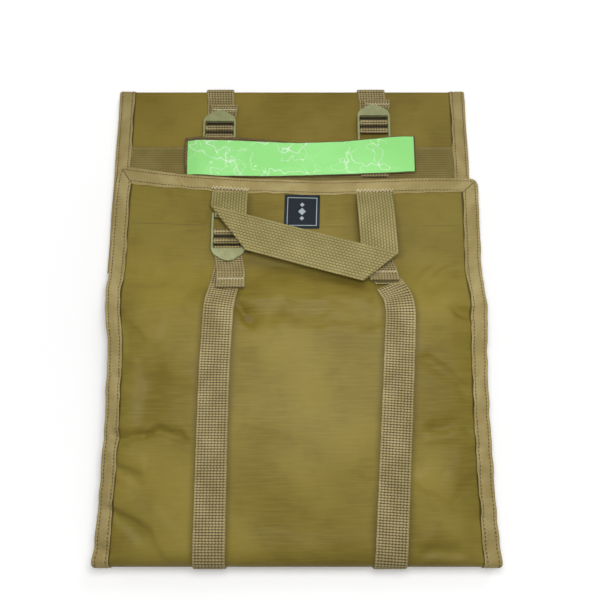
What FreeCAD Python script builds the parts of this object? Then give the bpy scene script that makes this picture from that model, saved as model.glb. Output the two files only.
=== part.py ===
import FreeCAD, Part
import math
import os

# A soft folding stretcher, folded flat. Millimetres: +X to the right of the bed, +Y towards the top fold,
# +Z up.
# The origin is the centre of the footprint, on the floor under the two lower straps.

V = FreeCAD.Vector

# ---- driving dimensions ----
BED_WIDTH = 482.0            # outside of the side bindings
FOLD_Y = 307.0               # centre of the top fold
FABRIC = 2.0                 # doubled, coated sheet
BIND_WIDTH = 20.0            # how far a binding reaches over the sheet
BIND_SKIN = 1.0              # one ply of binding tape
STRAP_WIDTH = 38.0
STRAP = 2.0                  # strap webbing thickness
HANDLE_WIDTH = 48.0
HANDLE = 2.2                 # handle webbing thickness
EASE = 0.05                  # between a binding and the sheet inside it
LAY = 0.3                    # between layers that lie on each other
HALF_W = BED_WIDTH / 2

# ---- heights ----
BACK_Z = STRAP + LAY + FABRIC / 2                # mid-plane of the back panel
FOLD_R = 3.0                                     # mid-plane radius of the top fold
FOLD_Z = BACK_Z + FOLD_R
TOP_Z = FOLD_Z + FOLD_R                          # mid-plane of the top flap
ON_SHEET = FABRIC / 2 + LAY + STRAP / 2          # from a sheet's mid-plane to the strap on it
ON_STRAP = ON_SHEET + LAY + STRAP                # from a sheet's mid-plane to a tail on that strap

# ---- bottom gusset ----
CORNER_Y = -306.0                                # both gusset hinge lines
CORNER_OFFSET = 4.0                              # from a hinge line to the sheets it joins
GUSSET_Y = CORNER_Y - CORNER_OFFSET
LOWER_HINGE_Z = BACK_Z + CORNER_OFFSET
UPPER_HINGE_Z = LOWER_HINGE_Z + 22.7
HINGE_GAP = 1.7                                  # sheets stop this far from a hinge line
PANEL_END_Y = CORNER_Y + 2.0

# ---- front flap: mid-line from the gusset to its end ----
FLAP_START_Z = UPPER_HINGE_Z + CORNER_OFFSET
CREST_Z = 38.5
CREST_Y = -2.0
FOOT_Y = 50.0
FLAP_LOW_Z = 17.5
FLAP_END_Y = 171.0
FLAP_LINE = [(PANEL_END_Y, FLAP_START_Z), (-150.0, 37.5), (-60.0, CREST_Z), (CREST_Y, CREST_Z),
             (FOOT_Y, FLAP_LOW_Z), (FLAP_END_Y - BIND_SKIN, FLAP_LOW_Z)]

# ---- top flap ----
TOP_START_Y = 300.0
TOP_END_Y = 45.0
BAND_LOW_Y = 173.0
BAND_WIDTH = 50.0

# ---- straps, from the lower end of each run to its upper end ----
BACK_STRAP_X = (-104.0, 107.0)
FRONT_STRAP_LOW_X = (-98.5, 114.0)
FRONT_STRAP_CREST_X = (-92.0, 131.0)
FRONT_LOCK_X = (-85.0, 108.5)
REAR_LOCK_X = (-102.0, 109.0)

# ---- ladder lock, from its anchor bar towards the tip of its tab ----
LOCK_WIDTH = 44.6
LOCK_THICK = 5.0
LOCK_RAIL = 2.7
LOCK_END = 3.0               # beyond the anchor bar
RUNG_1 = 23.0
RUNG_2 = 35.5
TAB_EDGE = 45.5
LOCK_SHOULDER = 44.0         # where the rails begin to draw in towards the tab
TAB_TIP = 62.0
TAB_HALF = 13.0              # where the shoulders meet the tab's rounded tip
TAB_DEPTH = 5.2              # height of that rounded tip
RUNG_R = 1.8
BAR_GAP = 0.15               # running clearance of webbing round a bar
FRONT_LOCK_Y = 119.0
FRONT_TAIL_TIP_Y = (16.0, 26.0)
FRONT_TAIL_SHIFT = (5.0, 7.0)    # a tail lies this far to the right of its lock
FRONT_LOCK_Z = FLAP_LOW_Z + ON_STRAP + STRAP / 2 + LAY + LOCK_THICK / 2
REAR_LOCK_Y = (212.0, 220.5)
REAR_LOCK_Z = TOP_Z + ON_STRAP + STRAP / 2 + LAY + LOCK_THICK / 2

# ---- handles ----
HANDLE_ROOT_Y = 150.5
ANCHOR_SEWN_Y = 142.0        # front anchors stop short of where the handle comes up
HANDLE_ROOT_Z = 20.6
HANDLE_RISE = [(HANDLE_ROOT_Y, HANDLE_ROOT_Z), (126.0, 32.2), (20.0, 41.0)]
HANDLE_LEFT_X = -85.0
HANDLE_RIGHT_X = 103.5       # at the root; the leg leans a little on its way down
LEFT_CREASE = [(-109.0, 132.0), (-57.0, 63.6)]
RIGHT_CREASE = [(81.5, 27.0), (133.0, 67.6)]
REAR_HANDLE_ROOT_Y = 50.0
REAR_HANDLE_TIP_Y = 140.0
REAR_HANDLE_HALF = 95.0

# ---- marker and label ----
MARKER_X = (-144.0, 161.0)
MARKER_LOW_Y = 177.0
MARKER_SLANT = 5.0           # the right end sits this much further up the bed
MARKER_WIDTH = 50.0
MARKER_Z = REAR_LOCK_Z + RUNG_R + BAR_GAP + STRAP + 0.3
LABEL = 48.0
LABEL_X = -14.0
LABEL_TOP_Y = 150.5


def slab(x0, x1, y0, y1, z0, z1):
    return Part.makeBox(x1 - x0, y1 - y0, z1 - z0, V(x0, y0, z0))


def side_profile(points, x0, x1):
    """A closed outline in the Y-Z plane, pushed from x0 to x1."""
    wire = Part.makePolygon([V(x0, y, z) for y, z in points + points[:1]])
    return Part.Face(wire).extrude(V(x1 - x0, 0, 0))


def plan_profile(points, z0, z1):
    """A closed outline in the X-Y plane, pushed from z0 to z1."""
    wire = Part.makePolygon([V(x, y, z0) for x, y in points + points[:1]])
    return Part.Face(wire).extrude(V(0, 0, z1 - z0))


def unit(a, b):
    length = math.dist(a, b)
    return ((b[0] - a[0]) / length, (b[1] - a[1]) / length)


def offset(line, distance):
    """The line moved sideways by a distance, to the left of its direction, with mitred corners."""
    moved = []
    for i, point in enumerate(line):
        before = unit(line[max(i - 1, 0)], line[max(i, 1)])
        after = unit(line[min(i, len(line) - 2)], line[min(i + 1, len(line) - 1)])
        normal = (-(before[1] + after[1]), before[0] + after[0])
        square = normal[0] ** 2 + normal[1] ** 2
        reach = 2 * distance / square
        moved.append((point[0] + normal[0] * reach, point[1] + normal[1] * reach))
    return moved


def ribbon(line, thickness, x0, x1):
    """A sheet of constant thickness whose mid-line is a line of (y, z) points."""
    upper, lower = offset(line, thickness / 2), offset(line, -thickness / 2)
    return side_profile(upper + lower[::-1], x0, x1)


def cut_at(line, y0, y1):
    """The part of a line, running towards +Y, that lies between y0 and y1."""
    def at(y):
        for (ya, za), (yb, zb) in zip(line, line[1:]):
            if ya <= y <= yb:
                return (y, za + (zb - za) * (y - ya) / (yb - ya))
        return line[0] if y < line[0][0] else line[-1]
    middle = [p for p in line if y0 + 1e-6 < p[0] < y1 - 1e-6]
    return [at(y0)] + middle + [at(y1)]


def side_binding(line, side):
    """Tape folded over a sheet's side edge: side is -1 on the left and 1 on the right."""
    outer, inner = side * HALF_W, side * (HALF_W - BIND_WIDTH)
    floor = side * (HALF_W - BIND_SKIN)
    tape = ribbon(line, FABRIC + 2 * (EASE + BIND_SKIN), min(outer, inner), max(outer, inner))
    groove = ribbon(line, FABRIC + 2 * EASE, min(floor, inner), max(floor, inner))
    return tape.cut(groove)


def end_binding(y_edge, inward, z):
    """Tape folded over a sheet's end edge, between the two side bindings."""
    half = FABRIC / 2 + EASE + BIND_SKIN
    y_in, y_floor = y_edge + inward * BIND_WIDTH, y_edge + inward * (BIND_SKIN - EASE)
    inside = HALF_W - BIND_WIDTH - EASE
    tape = slab(-inside, inside, min(y_edge, y_in), max(y_edge, y_in), z - half, z + half)
    groove = slab(-inside, inside, min(y_floor, y_in), max(y_floor, y_in),
                  z - half + BIND_SKIN, z + half - BIND_SKIN)
    return tape.cut(groove)


SHEET_HALF = HALF_W - BIND_SKIN - EASE


def fold_arc(radius, thickness, x0, x1):
    """Half a tube round the top fold, on its +Y side."""
    outer = Part.makeCylinder(radius + thickness / 2, x1 - x0, V(x0, FOLD_Y, FOLD_Z), V(1, 0, 0))
    inner = Part.makeCylinder(radius - thickness / 2, x1 - x0, V(x0, FOLD_Y, FOLD_Z), V(1, 0, 0))
    room = slab(x0, x1, FOLD_Y, FOLD_Y + 3 * radius, 0, TOP_Z + radius + thickness)
    return outer.cut(inner).common(room)


# ---- back panel, the lower layer of the bed ----

def back_panel():
    under, over = BACK_Z - FABRIC / 2, BACK_Z + FABRIC / 2
    return slab(-SHEET_HALF, SHEET_HALF, PANEL_END_Y, FOLD_Y - EASE, under, over)


def top_fold():
    return fold_arc(FOLD_R, FABRIC, -SHEET_HALF, SHEET_HALF)


def back_binding(side):
    """The side tape of the back panel, which runs on round the top fold."""
    outer, inner = side * HALF_W, side * (HALF_W - BIND_WIDTH)
    floor = side * (HALF_W - BIND_SKIN)
    flat = side_binding([(PANEL_END_Y, BACK_Z), (FOLD_Y, BACK_Z)], side)
    tape = fold_arc(FOLD_R, FABRIC + 2 * (EASE + BIND_SKIN), min(outer, inner), max(outer, inner))
    groove = fold_arc(FOLD_R, FABRIC + 2 * EASE, min(floor, inner), max(floor, inner))
    return flat.fuse(tape.cut(groove)).removeSplitter()


def back_strap(x):
    """The strap under the back panel and round the outside of the top fold."""
    x0, x1 = x - STRAP_WIDTH / 2, x + STRAP_WIDTH / 2
    flat = slab(x0, x1, PANEL_END_Y, FOLD_Y, 0, STRAP)
    arc = fold_arc(FOLD_R + ON_SHEET, STRAP, x0, x1)
    return flat.fuse(arc).removeSplitter()


def torso_pad():
    """The padded section that lies on the back panel and lifts the front flap."""
    pad = slab(-215, 215, -294, 8, BACK_Z + FABRIC / 2 + 1.2, 31.5)
    upright = [e for e in pad.Edges if abs(e.tangentAt(e.FirstParameter).z) > 0.9]
    pad = pad.makeFillet(24, upright)
    return pad.makeFillet(9, [e for e in pad.Edges if e.BoundBox.ZMin > 31])


# ---- bottom gusset ----

GUSSET_LINE = [(GUSSET_Y, LOWER_HINGE_Z + HINGE_GAP), (GUSSET_Y, UPPER_HINGE_Z - HINGE_GAP)]


def gusset_strap(x):
    y = GUSSET_Y - ON_SHEET
    return slab(x - STRAP_WIDTH / 2, x + STRAP_WIDTH / 2, y - STRAP / 2, y + STRAP / 2,
                LOWER_HINGE_Z + HINGE_GAP, UPPER_HINGE_Z - HINGE_GAP)


# ---- front flap ----

def front_strap(low_x, crest_x, lock_x):
    """A load strap on the front flap, drifting sideways a little on its way up to its lock."""
    line = offset(cut_at(FLAP_LINE, PANEL_END_Y, FRONT_LOCK_Y - RUNG_1 + 2), ON_SHEET)
    sheet = ribbon(line, STRAP, -HALF_W, HALF_W)
    half = STRAP_WIDTH / 2
    centre = [(low_x, PANEL_END_Y - 10), (crest_x, CREST_Y), (lock_x, FOOT_Y), (lock_x, FRONT_LOCK_Y)]
    left_edge = [(x - half, y) for x, y in centre]
    right_edge = [(x + half, y) for x, y in centre]
    return sheet.common(plan_profile(left_edge + right_edge[::-1], 0, 60))


def webbing_ring(y, z, x):
    start = V(x - STRAP_WIDTH / 2, y, z)
    return Part.makeCylinder(RUNG_R + BAR_GAP + STRAP, STRAP_WIDTH, start, V(1, 0, 0))


def anchor(x, bar_y, bar_z, sewn_y, sheet_top):
    """A doubled webbing sewn down at one end, with its loop round a lock's anchor bar."""
    x0, x1 = x - STRAP_WIDTH / 2, x + STRAP_WIDTH / 2
    toward = 1 if sewn_y > bar_y else -1
    ring_r = RUNG_R + BAR_GAP + STRAP / 2
    low, high = sheet_top + LAY + STRAP / 2, sheet_top + LAY + 3 * STRAP / 2
    lower = [(bar_y, bar_z - ring_r), (bar_y + toward * 9, low), (sewn_y, low)]
    upper = [(bar_y, bar_z + ring_r), (bar_y + toward * 14, high - 0.02), (sewn_y, high - 0.02)]
    loop = webbing_ring(bar_y, bar_z, x)
    for line in (lower, upper):
        line = line if toward > 0 else line[::-1]
        loop = loop.fuse(ribbon(line, STRAP, x0, x1))
    bore = Part.makeCylinder(RUNG_R + BAR_GAP, STRAP_WIDTH + 2, V(x0 - 1, bar_y, bar_z), V(1, 0, 0))
    return loop.cut(bore).removeSplitter()


def front_facing():
    """The hem sewn under the end of the front flap."""
    z = FLAP_LOW_Z - FABRIC / 2
    inside = HALF_W - BIND_WIDTH - 2
    return slab(-inside, inside, 104, FLAP_END_Y - BIND_WIDTH - 1, z - LAY - 1, z - LAY)


def label():
    z = FLAP_LOW_Z + FABRIC / 2 + LAY
    return slab(LABEL_X, LABEL_X + LABEL, LABEL_TOP_Y - LABEL, LABEL_TOP_Y, z, z + 0.8)


# ---- ladder locks ----

def lock_outline():
    """Half-round ended frame with a tab, in the X-Y plane, the tab pointing to -Y."""
    half, corner = LOCK_WIDTH / 2, 2.5
    end = LOCK_END
    neck = TAB_TIP - TAB_DEPTH
    left = [V(-half, end - corner, 0), V(-half, -LOCK_SHOULDER, 0), V(-TAB_HALF, -neck, 0)]
    mirror = [V(-p.x, p.y, 0) for p in left]
    bulge_x, bulge_y = half - 2.3, -LOCK_SHOULDER - 7.6
    shoulder_left = Part.Arc(left[1], V(-bulge_x, bulge_y, 0), left[2]).toShape()
    shoulder_right = Part.Arc(mirror[2], V(bulge_x, bulge_y, 0), mirror[1]).toShape()
    tab = Part.Arc(left[2], V(0, -TAB_TIP, 0), mirror[2]).toShape()
    end_left = Part.Arc(V(-half + corner, end, 0), V(-half + 0.73, end - 0.73, 0), left[0]).toShape()
    end_right = Part.Arc(mirror[0], V(half - 0.73, end - 0.73, 0), V(half - corner, end, 0)).toShape()
    top = Part.makeLine(V(half - corner, end, 0), V(-half + corner, end, 0))
    edges = [Part.makeLine(left[0], left[1]), shoulder_left, tab, shoulder_right,
             Part.makeLine(mirror[1], mirror[0]), end_right, top, end_left]
    return Part.Wire(Part.__sortEdges__(edges))


def ladder_lock():
    """Moulded lock with its anchor bar on the origin's X axis, two rungs and a pull tab towards -Y."""
    frame = Part.Face(lock_outline()).extrude(V(0, 0, LOCK_THICK))
    frame.translate(V(0, 0, -LOCK_THICK / 2))
    frame = frame.makeFillet(0.7, [e for e in frame.Edges if e.BoundBox.ZLength < 1e-6])
    opening = slab(-LOCK_WIDTH / 2 + LOCK_RAIL, LOCK_WIDTH / 2 - LOCK_RAIL, -TAB_EDGE, LOCK_END + 1,
                   -LOCK_THICK, LOCK_THICK)
    upright = [e for e in opening.Edges if abs(e.tangentAt(e.FirstParameter).z) > 0.9]
    opening = opening.makeFillet(2.0, [e for e in upright if e.BoundBox.YMax < 0])
    frame = frame.cut(opening)
    inner = LOCK_WIDTH - 2 * LOCK_RAIL + 1.0
    for y in (0, -RUNG_1, -RUNG_2):
        frame = frame.fuse(Part.makeCylinder(RUNG_R, inner, V(-inner / 2, y, 0), V(1, 0, 0)))
    return frame.removeSplitter()


def lock_bite():
    """The strap where it winds over a lock's two rungs."""
    x0, x1 = -STRAP_WIDTH / 2, STRAP_WIDTH / 2
    ring_r = RUNG_R + BAR_GAP + STRAP / 2
    solid = None
    for y in (-RUNG_1, -RUNG_2):
        ring = Part.makeCylinder(ring_r + STRAP / 2, x1 - x0, V(x0, y, 0), V(1, 0, 0))
        above = slab(x0, x1, y - 10, y + 10, -0.6, 10)
        solid = ring.common(above) if solid is None else solid.fuse(ring.common(above))
    low = -0.6
    bridge = slab(x0, x1, -RUNG_2 + RUNG_R + BAR_GAP, -RUNG_1 - RUNG_R - BAR_GAP, low, low + 1.9)
    solid = solid.fuse(bridge)
    for y in (-RUNG_1, -RUNG_2):
        solid = solid.cut(Part.makeCylinder(RUNG_R + BAR_GAP, x1 - x0 + 2, V(x0 - 1, y, 0), V(1, 0, 0)))
    return solid.removeSplitter()


def place_lock(shape, x, y, z, turned):
    """Puts a lock or its webbing in place. turned points the tab to +Y."""
    moved = shape.copy()
    if turned:
        moved.rotate(V(0, 0, 0), V(0, 0, 1), 180)
    moved.translate(V(x, y, z))
    return moved


def front_tail(x, tip_y):
    """The free end of a front strap, past the tab, with its end turned over and sewn."""
    x0, x1 = x - STRAP_WIDTH / 2, x + STRAP_WIDTH / 2
    single = offset(cut_at(FLAP_LINE, tip_y, 54), ON_STRAP)
    folded = offset(cut_at(FLAP_LINE, tip_y, tip_y + 22), ON_STRAP + STRAP)
    return ribbon(single, STRAP, x0, x1).fuse(ribbon(folded, STRAP + 0.02, x0, x1)).removeSplitter()


def rear_tail(x, tip_y):
    """The free end of a rear strap, just past the tab."""
    x0, x1 = x + 6 - STRAP_WIDTH / 2, x + 6 + STRAP_WIDTH / 2
    z = TOP_Z + ON_STRAP - STRAP / 2
    single = slab(x0, x1, tip_y - 12, tip_y + 10, z, z + STRAP)
    folded = slab(x0, x1, tip_y + 1, tip_y + 10, z + STRAP - 0.01, z + 2 * STRAP)
    return single.fuse(folded).removeSplitter()


# ---- handles ----

def carry_handle():
    """One webbing, sewn at both ends and creased twice: down the left, across, and up the right."""
    half = HANDLE_WIDTH / 2
    left, right = HANDLE_LEFT_X, HANDLE_RIGHT_X
    (ax, ay), (bx, by) = LEFT_CREASE
    (cx, cy), (dx, dy) = RIGHT_CREASE
    line = HANDLE_RISE[::-1]
    lower = ribbon(line, HANDLE, -HALF_W, HALF_W)
    over = ribbon(offset(line, HANDLE + LAY), HANDLE, -HALF_W, HALF_W)
    both = ribbon(offset(line, (HANDLE + LAY) / 2), 2 * HANDLE + LAY, -HALF_W, HALF_W)
    reach = HANDLE_ROOT_Y + 5
    left_plan = [(left - half, reach), (left - half, ay), (left + half, by + 4), (left + half, reach)]
    right_plan = [(right - half, reach), (cx + 1, cy + 2), (dx, dy), (right + half, reach)]
    across_plan = [(ax, ay), (bx, by), (cx, cy), (dx, dy), (cx, cy + HANDLE_WIDTH + 2)]
    fold = 2.4
    left_fold = [(ax, ay), (bx, by), (bx + fold, by + fold), (ax + fold, ay + fold)]
    right_fold = [(cx, cy), (dx, dy), (dx - fold, dy + fold), (cx - fold, cy + fold)]
    shape = lower.common(plan_profile(left_plan, 0, 80))
    shape = shape.fuse(lower.common(plan_profile(right_plan, 0, 80)))
    shape = shape.fuse(over.common(plan_profile(across_plan, 0, 80)))
    for plan in (left_fold, right_fold):
        shape = shape.fuse(both.common(plan_profile(plan, 0, 80)))
    return shape.removeSplitter()


def rear_handle():
    """The head end's handle: a flat U of webbing that lies on the top flap."""
    z = TOP_Z + FABRIC / 2 + 1.2
    outer, inner = REAR_HANDLE_HALF + HANDLE_WIDTH / 2, REAR_HANDLE_HALF - HANDLE_WIDTH / 2
    loop = slab(-outer, outer, REAR_HANDLE_ROOT_Y, REAR_HANDLE_TIP_Y, z, z + HANDLE)
    hollow_y = REAR_HANDLE_TIP_Y - HANDLE_WIDTH
    hollow = slab(-inner, inner, REAR_HANDLE_ROOT_Y - 1, hollow_y, z - 1, z + HANDLE + 1)
    return loop.cut(hollow)


# ---- top flap ----

TOP_LINE = [(TOP_END_Y + BIND_SKIN, TOP_Z), (TOP_START_Y, TOP_Z)]
BAND_LOW_Z = TOP_Z + FABRIC / 2 + LAY


def top_strap(x, bar_y):
    """The strap from the top fold to under a rear lock."""
    z, half = TOP_Z + ON_SHEET, STRAP_WIDTH / 2
    return slab(x - half, x + half, bar_y + RUNG_1, TOP_START_Y, z - STRAP / 2, z + STRAP / 2)


def cross_band():
    inside = HALF_W - BIND_WIDTH - 1
    return slab(-inside, inside, BAND_LOW_Y, BAND_LOW_Y + BAND_WIDTH, BAND_LOW_Z, BAND_LOW_Z + STRAP)


def marker_layer(grow, z0, z1):
    """One layer of the marker strip, whose right end sits a little further up the bed."""
    (x0, x1), y0 = MARKER_X, MARKER_LOW_Y
    y1 = y0 + MARKER_WIDTH
    return plan_profile([(x0 - grow, y0 - grow / 2), (x1 + grow / 2, y0 + MARKER_SLANT - grow / 2),
                         (x1 + grow / 2, y1 + MARKER_SLANT + grow), (x0 - grow, y1 + grow)], z0, z1)


def all_parts():
    left, right = 0, 1
    lock, bite = ladder_lock(), lock_bite()
    flap_edge = FLAP_LINE[:-1] + [(FLAP_END_Y, FLAP_LOW_Z)]
    flap_top = FLAP_LOW_Z + FABRIC / 2
    parts = {
        "back_panel": back_panel(),
        "top_fold": top_fold(),
        "torso_pad": torso_pad(),
        "bottom_gusset": ribbon(GUSSET_LINE, FABRIC, -SHEET_HALF, SHEET_HALF),
        "front_flap": ribbon(FLAP_LINE, FABRIC, -SHEET_HALF, SHEET_HALF),
        "front_binding_end": end_binding(FLAP_END_Y, -1, FLAP_LOW_Z),
        "front_facing": front_facing(),
        "label": label(),
        "carry_handle": carry_handle(),
        "top_flap": ribbon(TOP_LINE, FABRIC, -SHEET_HALF, SHEET_HALF),
        "top_binding_end": end_binding(TOP_END_Y, 1, TOP_Z),
        "cross_band": cross_band(),
        "marker_backing": marker_layer(4.0, MARKER_Z, MARKER_Z + 1.2),
        "marker_film": marker_layer(0.0, MARKER_Z + 1.3, MARKER_Z + 1.9),
        "rear_handle": rear_handle(),
    }
    for i, name in ((left, "left"), (right, "right")):
        side = -1 if i == left else 1
        x, y, z = FRONT_LOCK_X[i], FRONT_LOCK_Y, FRONT_LOCK_Z
        parts["back_binding_" + name] = back_binding(side)
        parts["back_strap_" + name] = back_strap(BACK_STRAP_X[i])
        parts["gusset_binding_" + name] = side_binding(GUSSET_LINE, side)
        parts["gusset_strap_" + name] = gusset_strap(FRONT_STRAP_LOW_X[i])
        parts["front_binding_" + name] = side_binding(flap_edge, side)
        parts["front_strap_" + name] = front_strap(FRONT_STRAP_LOW_X[i], FRONT_STRAP_CREST_X[i], x)
        parts["front_anchor_" + name] = anchor(x, y, z, ANCHOR_SEWN_Y, flap_top)
        parts["front_lock_" + name] = place_lock(lock, x, y, z, False)
        parts["front_bite_" + name] = place_lock(bite, x, y, z, False)
        parts["front_tail_" + name] = front_tail(x + FRONT_TAIL_SHIFT[i], FRONT_TAIL_TIP_Y[i])
        x, y, z = REAR_LOCK_X[i], REAR_LOCK_Y[i], REAR_LOCK_Z
        parts["top_binding_" + name] = side_binding([(TOP_END_Y, TOP_Z), (TOP_START_Y, TOP_Z)], side)
        parts["top_strap_" + name] = top_strap(x, y)
        parts["rear_anchor_" + name] = anchor(x, y, z, BAND_LOW_Y + 4, BAND_LOW_Z + STRAP)
        parts["rear_lock_" + name] = place_lock(lock, x, y, z, True)
        parts["rear_bite_" + name] = place_lock(bite, x, y, z, True)
        parts["rear_tail_" + name] = rear_tail(x, y + TAB_TIP)
    return parts


os.makedirs("parts", exist_ok=True)
for name, shape in all_parts().items():
    shape.exportStep("parts/" + name + ".step")
    b = shape.BoundBox
    spans = "x %.1f..%.1f y %.1f..%.1f z %.1f..%.1f" % (b.XMin, b.XMax, b.YMin, b.YMax, b.ZMin, b.ZMax)
    print("%-22s solids %d valid %s  %s" % (name, len(shape.Solids), shape.isValid(), spans))
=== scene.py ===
import math

import bmesh
import bpy
import numpy as np
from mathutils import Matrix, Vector


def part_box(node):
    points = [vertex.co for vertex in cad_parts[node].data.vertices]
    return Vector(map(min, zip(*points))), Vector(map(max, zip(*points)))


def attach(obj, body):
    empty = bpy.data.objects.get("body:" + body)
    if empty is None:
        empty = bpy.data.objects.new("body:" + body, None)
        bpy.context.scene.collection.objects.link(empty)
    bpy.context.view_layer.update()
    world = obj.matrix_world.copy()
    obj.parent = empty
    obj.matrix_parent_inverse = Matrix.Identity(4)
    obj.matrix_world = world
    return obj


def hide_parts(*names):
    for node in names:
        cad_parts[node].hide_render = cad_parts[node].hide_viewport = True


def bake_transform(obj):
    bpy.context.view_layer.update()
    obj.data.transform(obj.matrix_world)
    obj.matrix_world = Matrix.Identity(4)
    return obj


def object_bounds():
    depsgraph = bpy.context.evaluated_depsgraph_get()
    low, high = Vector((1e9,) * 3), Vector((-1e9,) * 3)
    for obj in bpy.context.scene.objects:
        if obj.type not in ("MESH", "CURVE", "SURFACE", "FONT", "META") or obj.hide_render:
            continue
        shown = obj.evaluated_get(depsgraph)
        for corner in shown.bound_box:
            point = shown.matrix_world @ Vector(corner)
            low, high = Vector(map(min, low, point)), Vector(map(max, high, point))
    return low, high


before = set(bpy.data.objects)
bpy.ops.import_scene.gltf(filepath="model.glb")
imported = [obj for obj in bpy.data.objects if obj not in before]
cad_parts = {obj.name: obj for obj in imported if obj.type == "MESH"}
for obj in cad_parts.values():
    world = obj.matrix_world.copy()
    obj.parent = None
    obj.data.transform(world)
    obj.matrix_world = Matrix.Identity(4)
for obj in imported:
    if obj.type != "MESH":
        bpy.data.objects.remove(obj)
CAD_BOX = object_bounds()

# A folding fabric stretcher, folded flat. x runs across the bed, y from the bottom fold to the top fold.
# Sizes here are millimetres; meshes are scaled to metres as they are made. Sheets are swept along a line
# in the Y-Z plane; s is the length along that line and lift the height over it.
MM = 0.001
HALF_WIDTH = 241.0
SHEET = 1.4                  # sheet thickness
BIND = 20.0                  # binding width
STRAP = 2.0                  # strap thickness
STRAP_WIDTH = 38.0
WIDE = 2.2                   # handle webbing thickness
WIDE_WIDTH = 48.0
LAY = 0.35                   # air between layers that lie on each other
IN_LOCK_WIDTH = STRAP_WIDTH - 0.6                    # webbing between a lock's side rails
STRAP_LIFT = SHEET / 2 + LAY + STRAP / 2             # middle of a strap that lies on a sheet
TAIL_LIFT = STRAP_LIFT + LAY + STRAP                 # middle of webbing that lies on such a strap

# Ladder locks: radius of a rung, and the distance of the tab's edge and of both rungs from the anchor bar.
RUNG_R = 1.8
TAB_EDGE = 45.5
RUNG_1, RUNG_2 = 23.0, 35.5
ROUND_RUNG = RUNG_R + 0.15 + STRAP / 2               # middle of webbing that goes round a rung

# Where the sheets' mid-lines run.
MID_GUSSET_Z = 18.65
GUSSET_Y = -310.0
BACK_Z = 3.3
FOLD_Y, FOLD_Z, FOLD_R = 305.0, 6.3, 3.0
TOP_Z = 9.3
FLAP_Z = 17.5                # the front flap, above the padded part
TOP_END_Y = 45.0
SPLIT_Y = 280.0              # where the lower sheet hands over to the one round the top fold
FLAP_END_Y = 171.0


def box_mm(node):
    low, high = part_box(node)
    return np.array(low) / MM, np.array(high) / MM


def ease(t):
    """0 to 1 with flat ends."""
    t = np.clip(t, 0.0, 1.0)
    return t * t * (3.0 - 2.0 * t)


def between(value, low, high):
    return ease((np.asarray(value, float) - low) / (high - low))


def soft_curve(knots, soften):
    """A smooth function through a few (where, value) pairs."""
    where = np.array([k[0] for k in knots], float)
    value = np.array([k[1] for k in knots], float)
    dense = np.arange(where[0] - 4 * soften, where[-1] + 4 * soften, 1.0)
    held = np.interp(dense, where, value)
    reach = int(3 * soften)
    kernel = np.exp(-0.5 * (np.arange(-reach, reach + 1) / soften) ** 2)
    kernel /= kernel.sum()
    padded = np.pad(held, reach, mode="edge")
    smooth = np.convolve(padded, kernel, mode="valid")
    return lambda at: np.interp(at, dense, smooth)


# ---- mesh building ----

def put(name, data):
    """Adds an object to the scene."""
    added = bpy.data.objects.new(name, data)
    bpy.context.scene.collection.objects.link(added)
    return added


def add_mesh(name, verts, faces, uv, material, sharp=48.0):
    mesh = bpy.data.meshes.new(name)
    mesh.from_pydata((np.asarray(verts).reshape(-1, 3) * MM).tolist(), [], faces)
    layer = mesh.uv_layers.new(name="UVMap")
    corner = np.empty(len(mesh.loops), int)
    mesh.loops.foreach_get("vertex_index", corner)
    layer.data.foreach_set("uv", (np.asarray(uv).reshape(-1, 2) * MM)[corner].ravel())
    work = bmesh.new()
    work.from_mesh(mesh)
    bmesh.ops.recalc_face_normals(work, faces=work.faces)
    work.to_mesh(mesh)
    work.free()
    mesh.shade_smooth()
    mesh.set_sharp_from_angle(angle=math.radians(sharp))
    mesh.materials.append(material)
    return put(name, mesh)


def grid_faces(rows, cols, first=0):
    corner = np.arange(rows - 1)[:, None] * cols + np.arange(cols - 1)
    quads = np.stack([corner, corner + 1, corner + cols + 1, corner + cols], -1)
    return quads.reshape(-1, 4) + first


def coordinates(piece):
    flat = np.empty(len(piece.data.vertices) * 3)
    piece.data.vertices.foreach_get("co", flat)
    return flat.reshape(-1, 3)


def set_shade(piece, values):
    """Stores how much painted shade each vertex gets, 0 to 1, for the material."""
    store = piece.data.attributes.new("shade", "FLOAT", "POINT")
    store.data.foreach_set("value", np.asarray(values, np.float32).ravel())


def closed_sheet(name, top, bottom, uv, material):
    """A sheet with two faces and a rim all round. top and bottom are rows of points."""
    rows, cols = top.shape[:2]
    count = rows * cols
    ring = np.r_[np.arange(cols), np.arange(1, rows) * cols + cols - 1,
                 (rows - 1) * cols + np.arange(cols - 2, -1, -1), np.arange(rows - 2, 0, -1) * cols]
    following = np.roll(ring, -1)
    rim = np.stack([ring, ring + count, following + count, following], 1)
    faces = np.concatenate([grid_faces(rows, cols), grid_faces(rows, cols, count)[:, ::-1], rim])
    verts = np.concatenate([top.reshape(-1, 3), bottom.reshape(-1, 3)])
    return add_mesh(name, verts, faces.tolist(), np.concatenate([uv.reshape(-1, 2)] * 2), material)


def closed_tube(name, rings, uv, material):
    """A run of closed cross-sections, capped at both ends."""
    rows, count = rings.shape[:2]
    here = np.arange(rows - 1)[:, None] * count + np.arange(count)
    after = np.arange(rows - 1)[:, None] * count + (np.arange(count) + 1) % count
    sides = np.stack([here, after, after + count, here + count], -1).reshape(-1, 4).tolist()
    caps = [list(range(count))[::-1], list(range((rows - 1) * count, rows * count))]
    return add_mesh(name, rings, sides + caps, uv, material)


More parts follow.
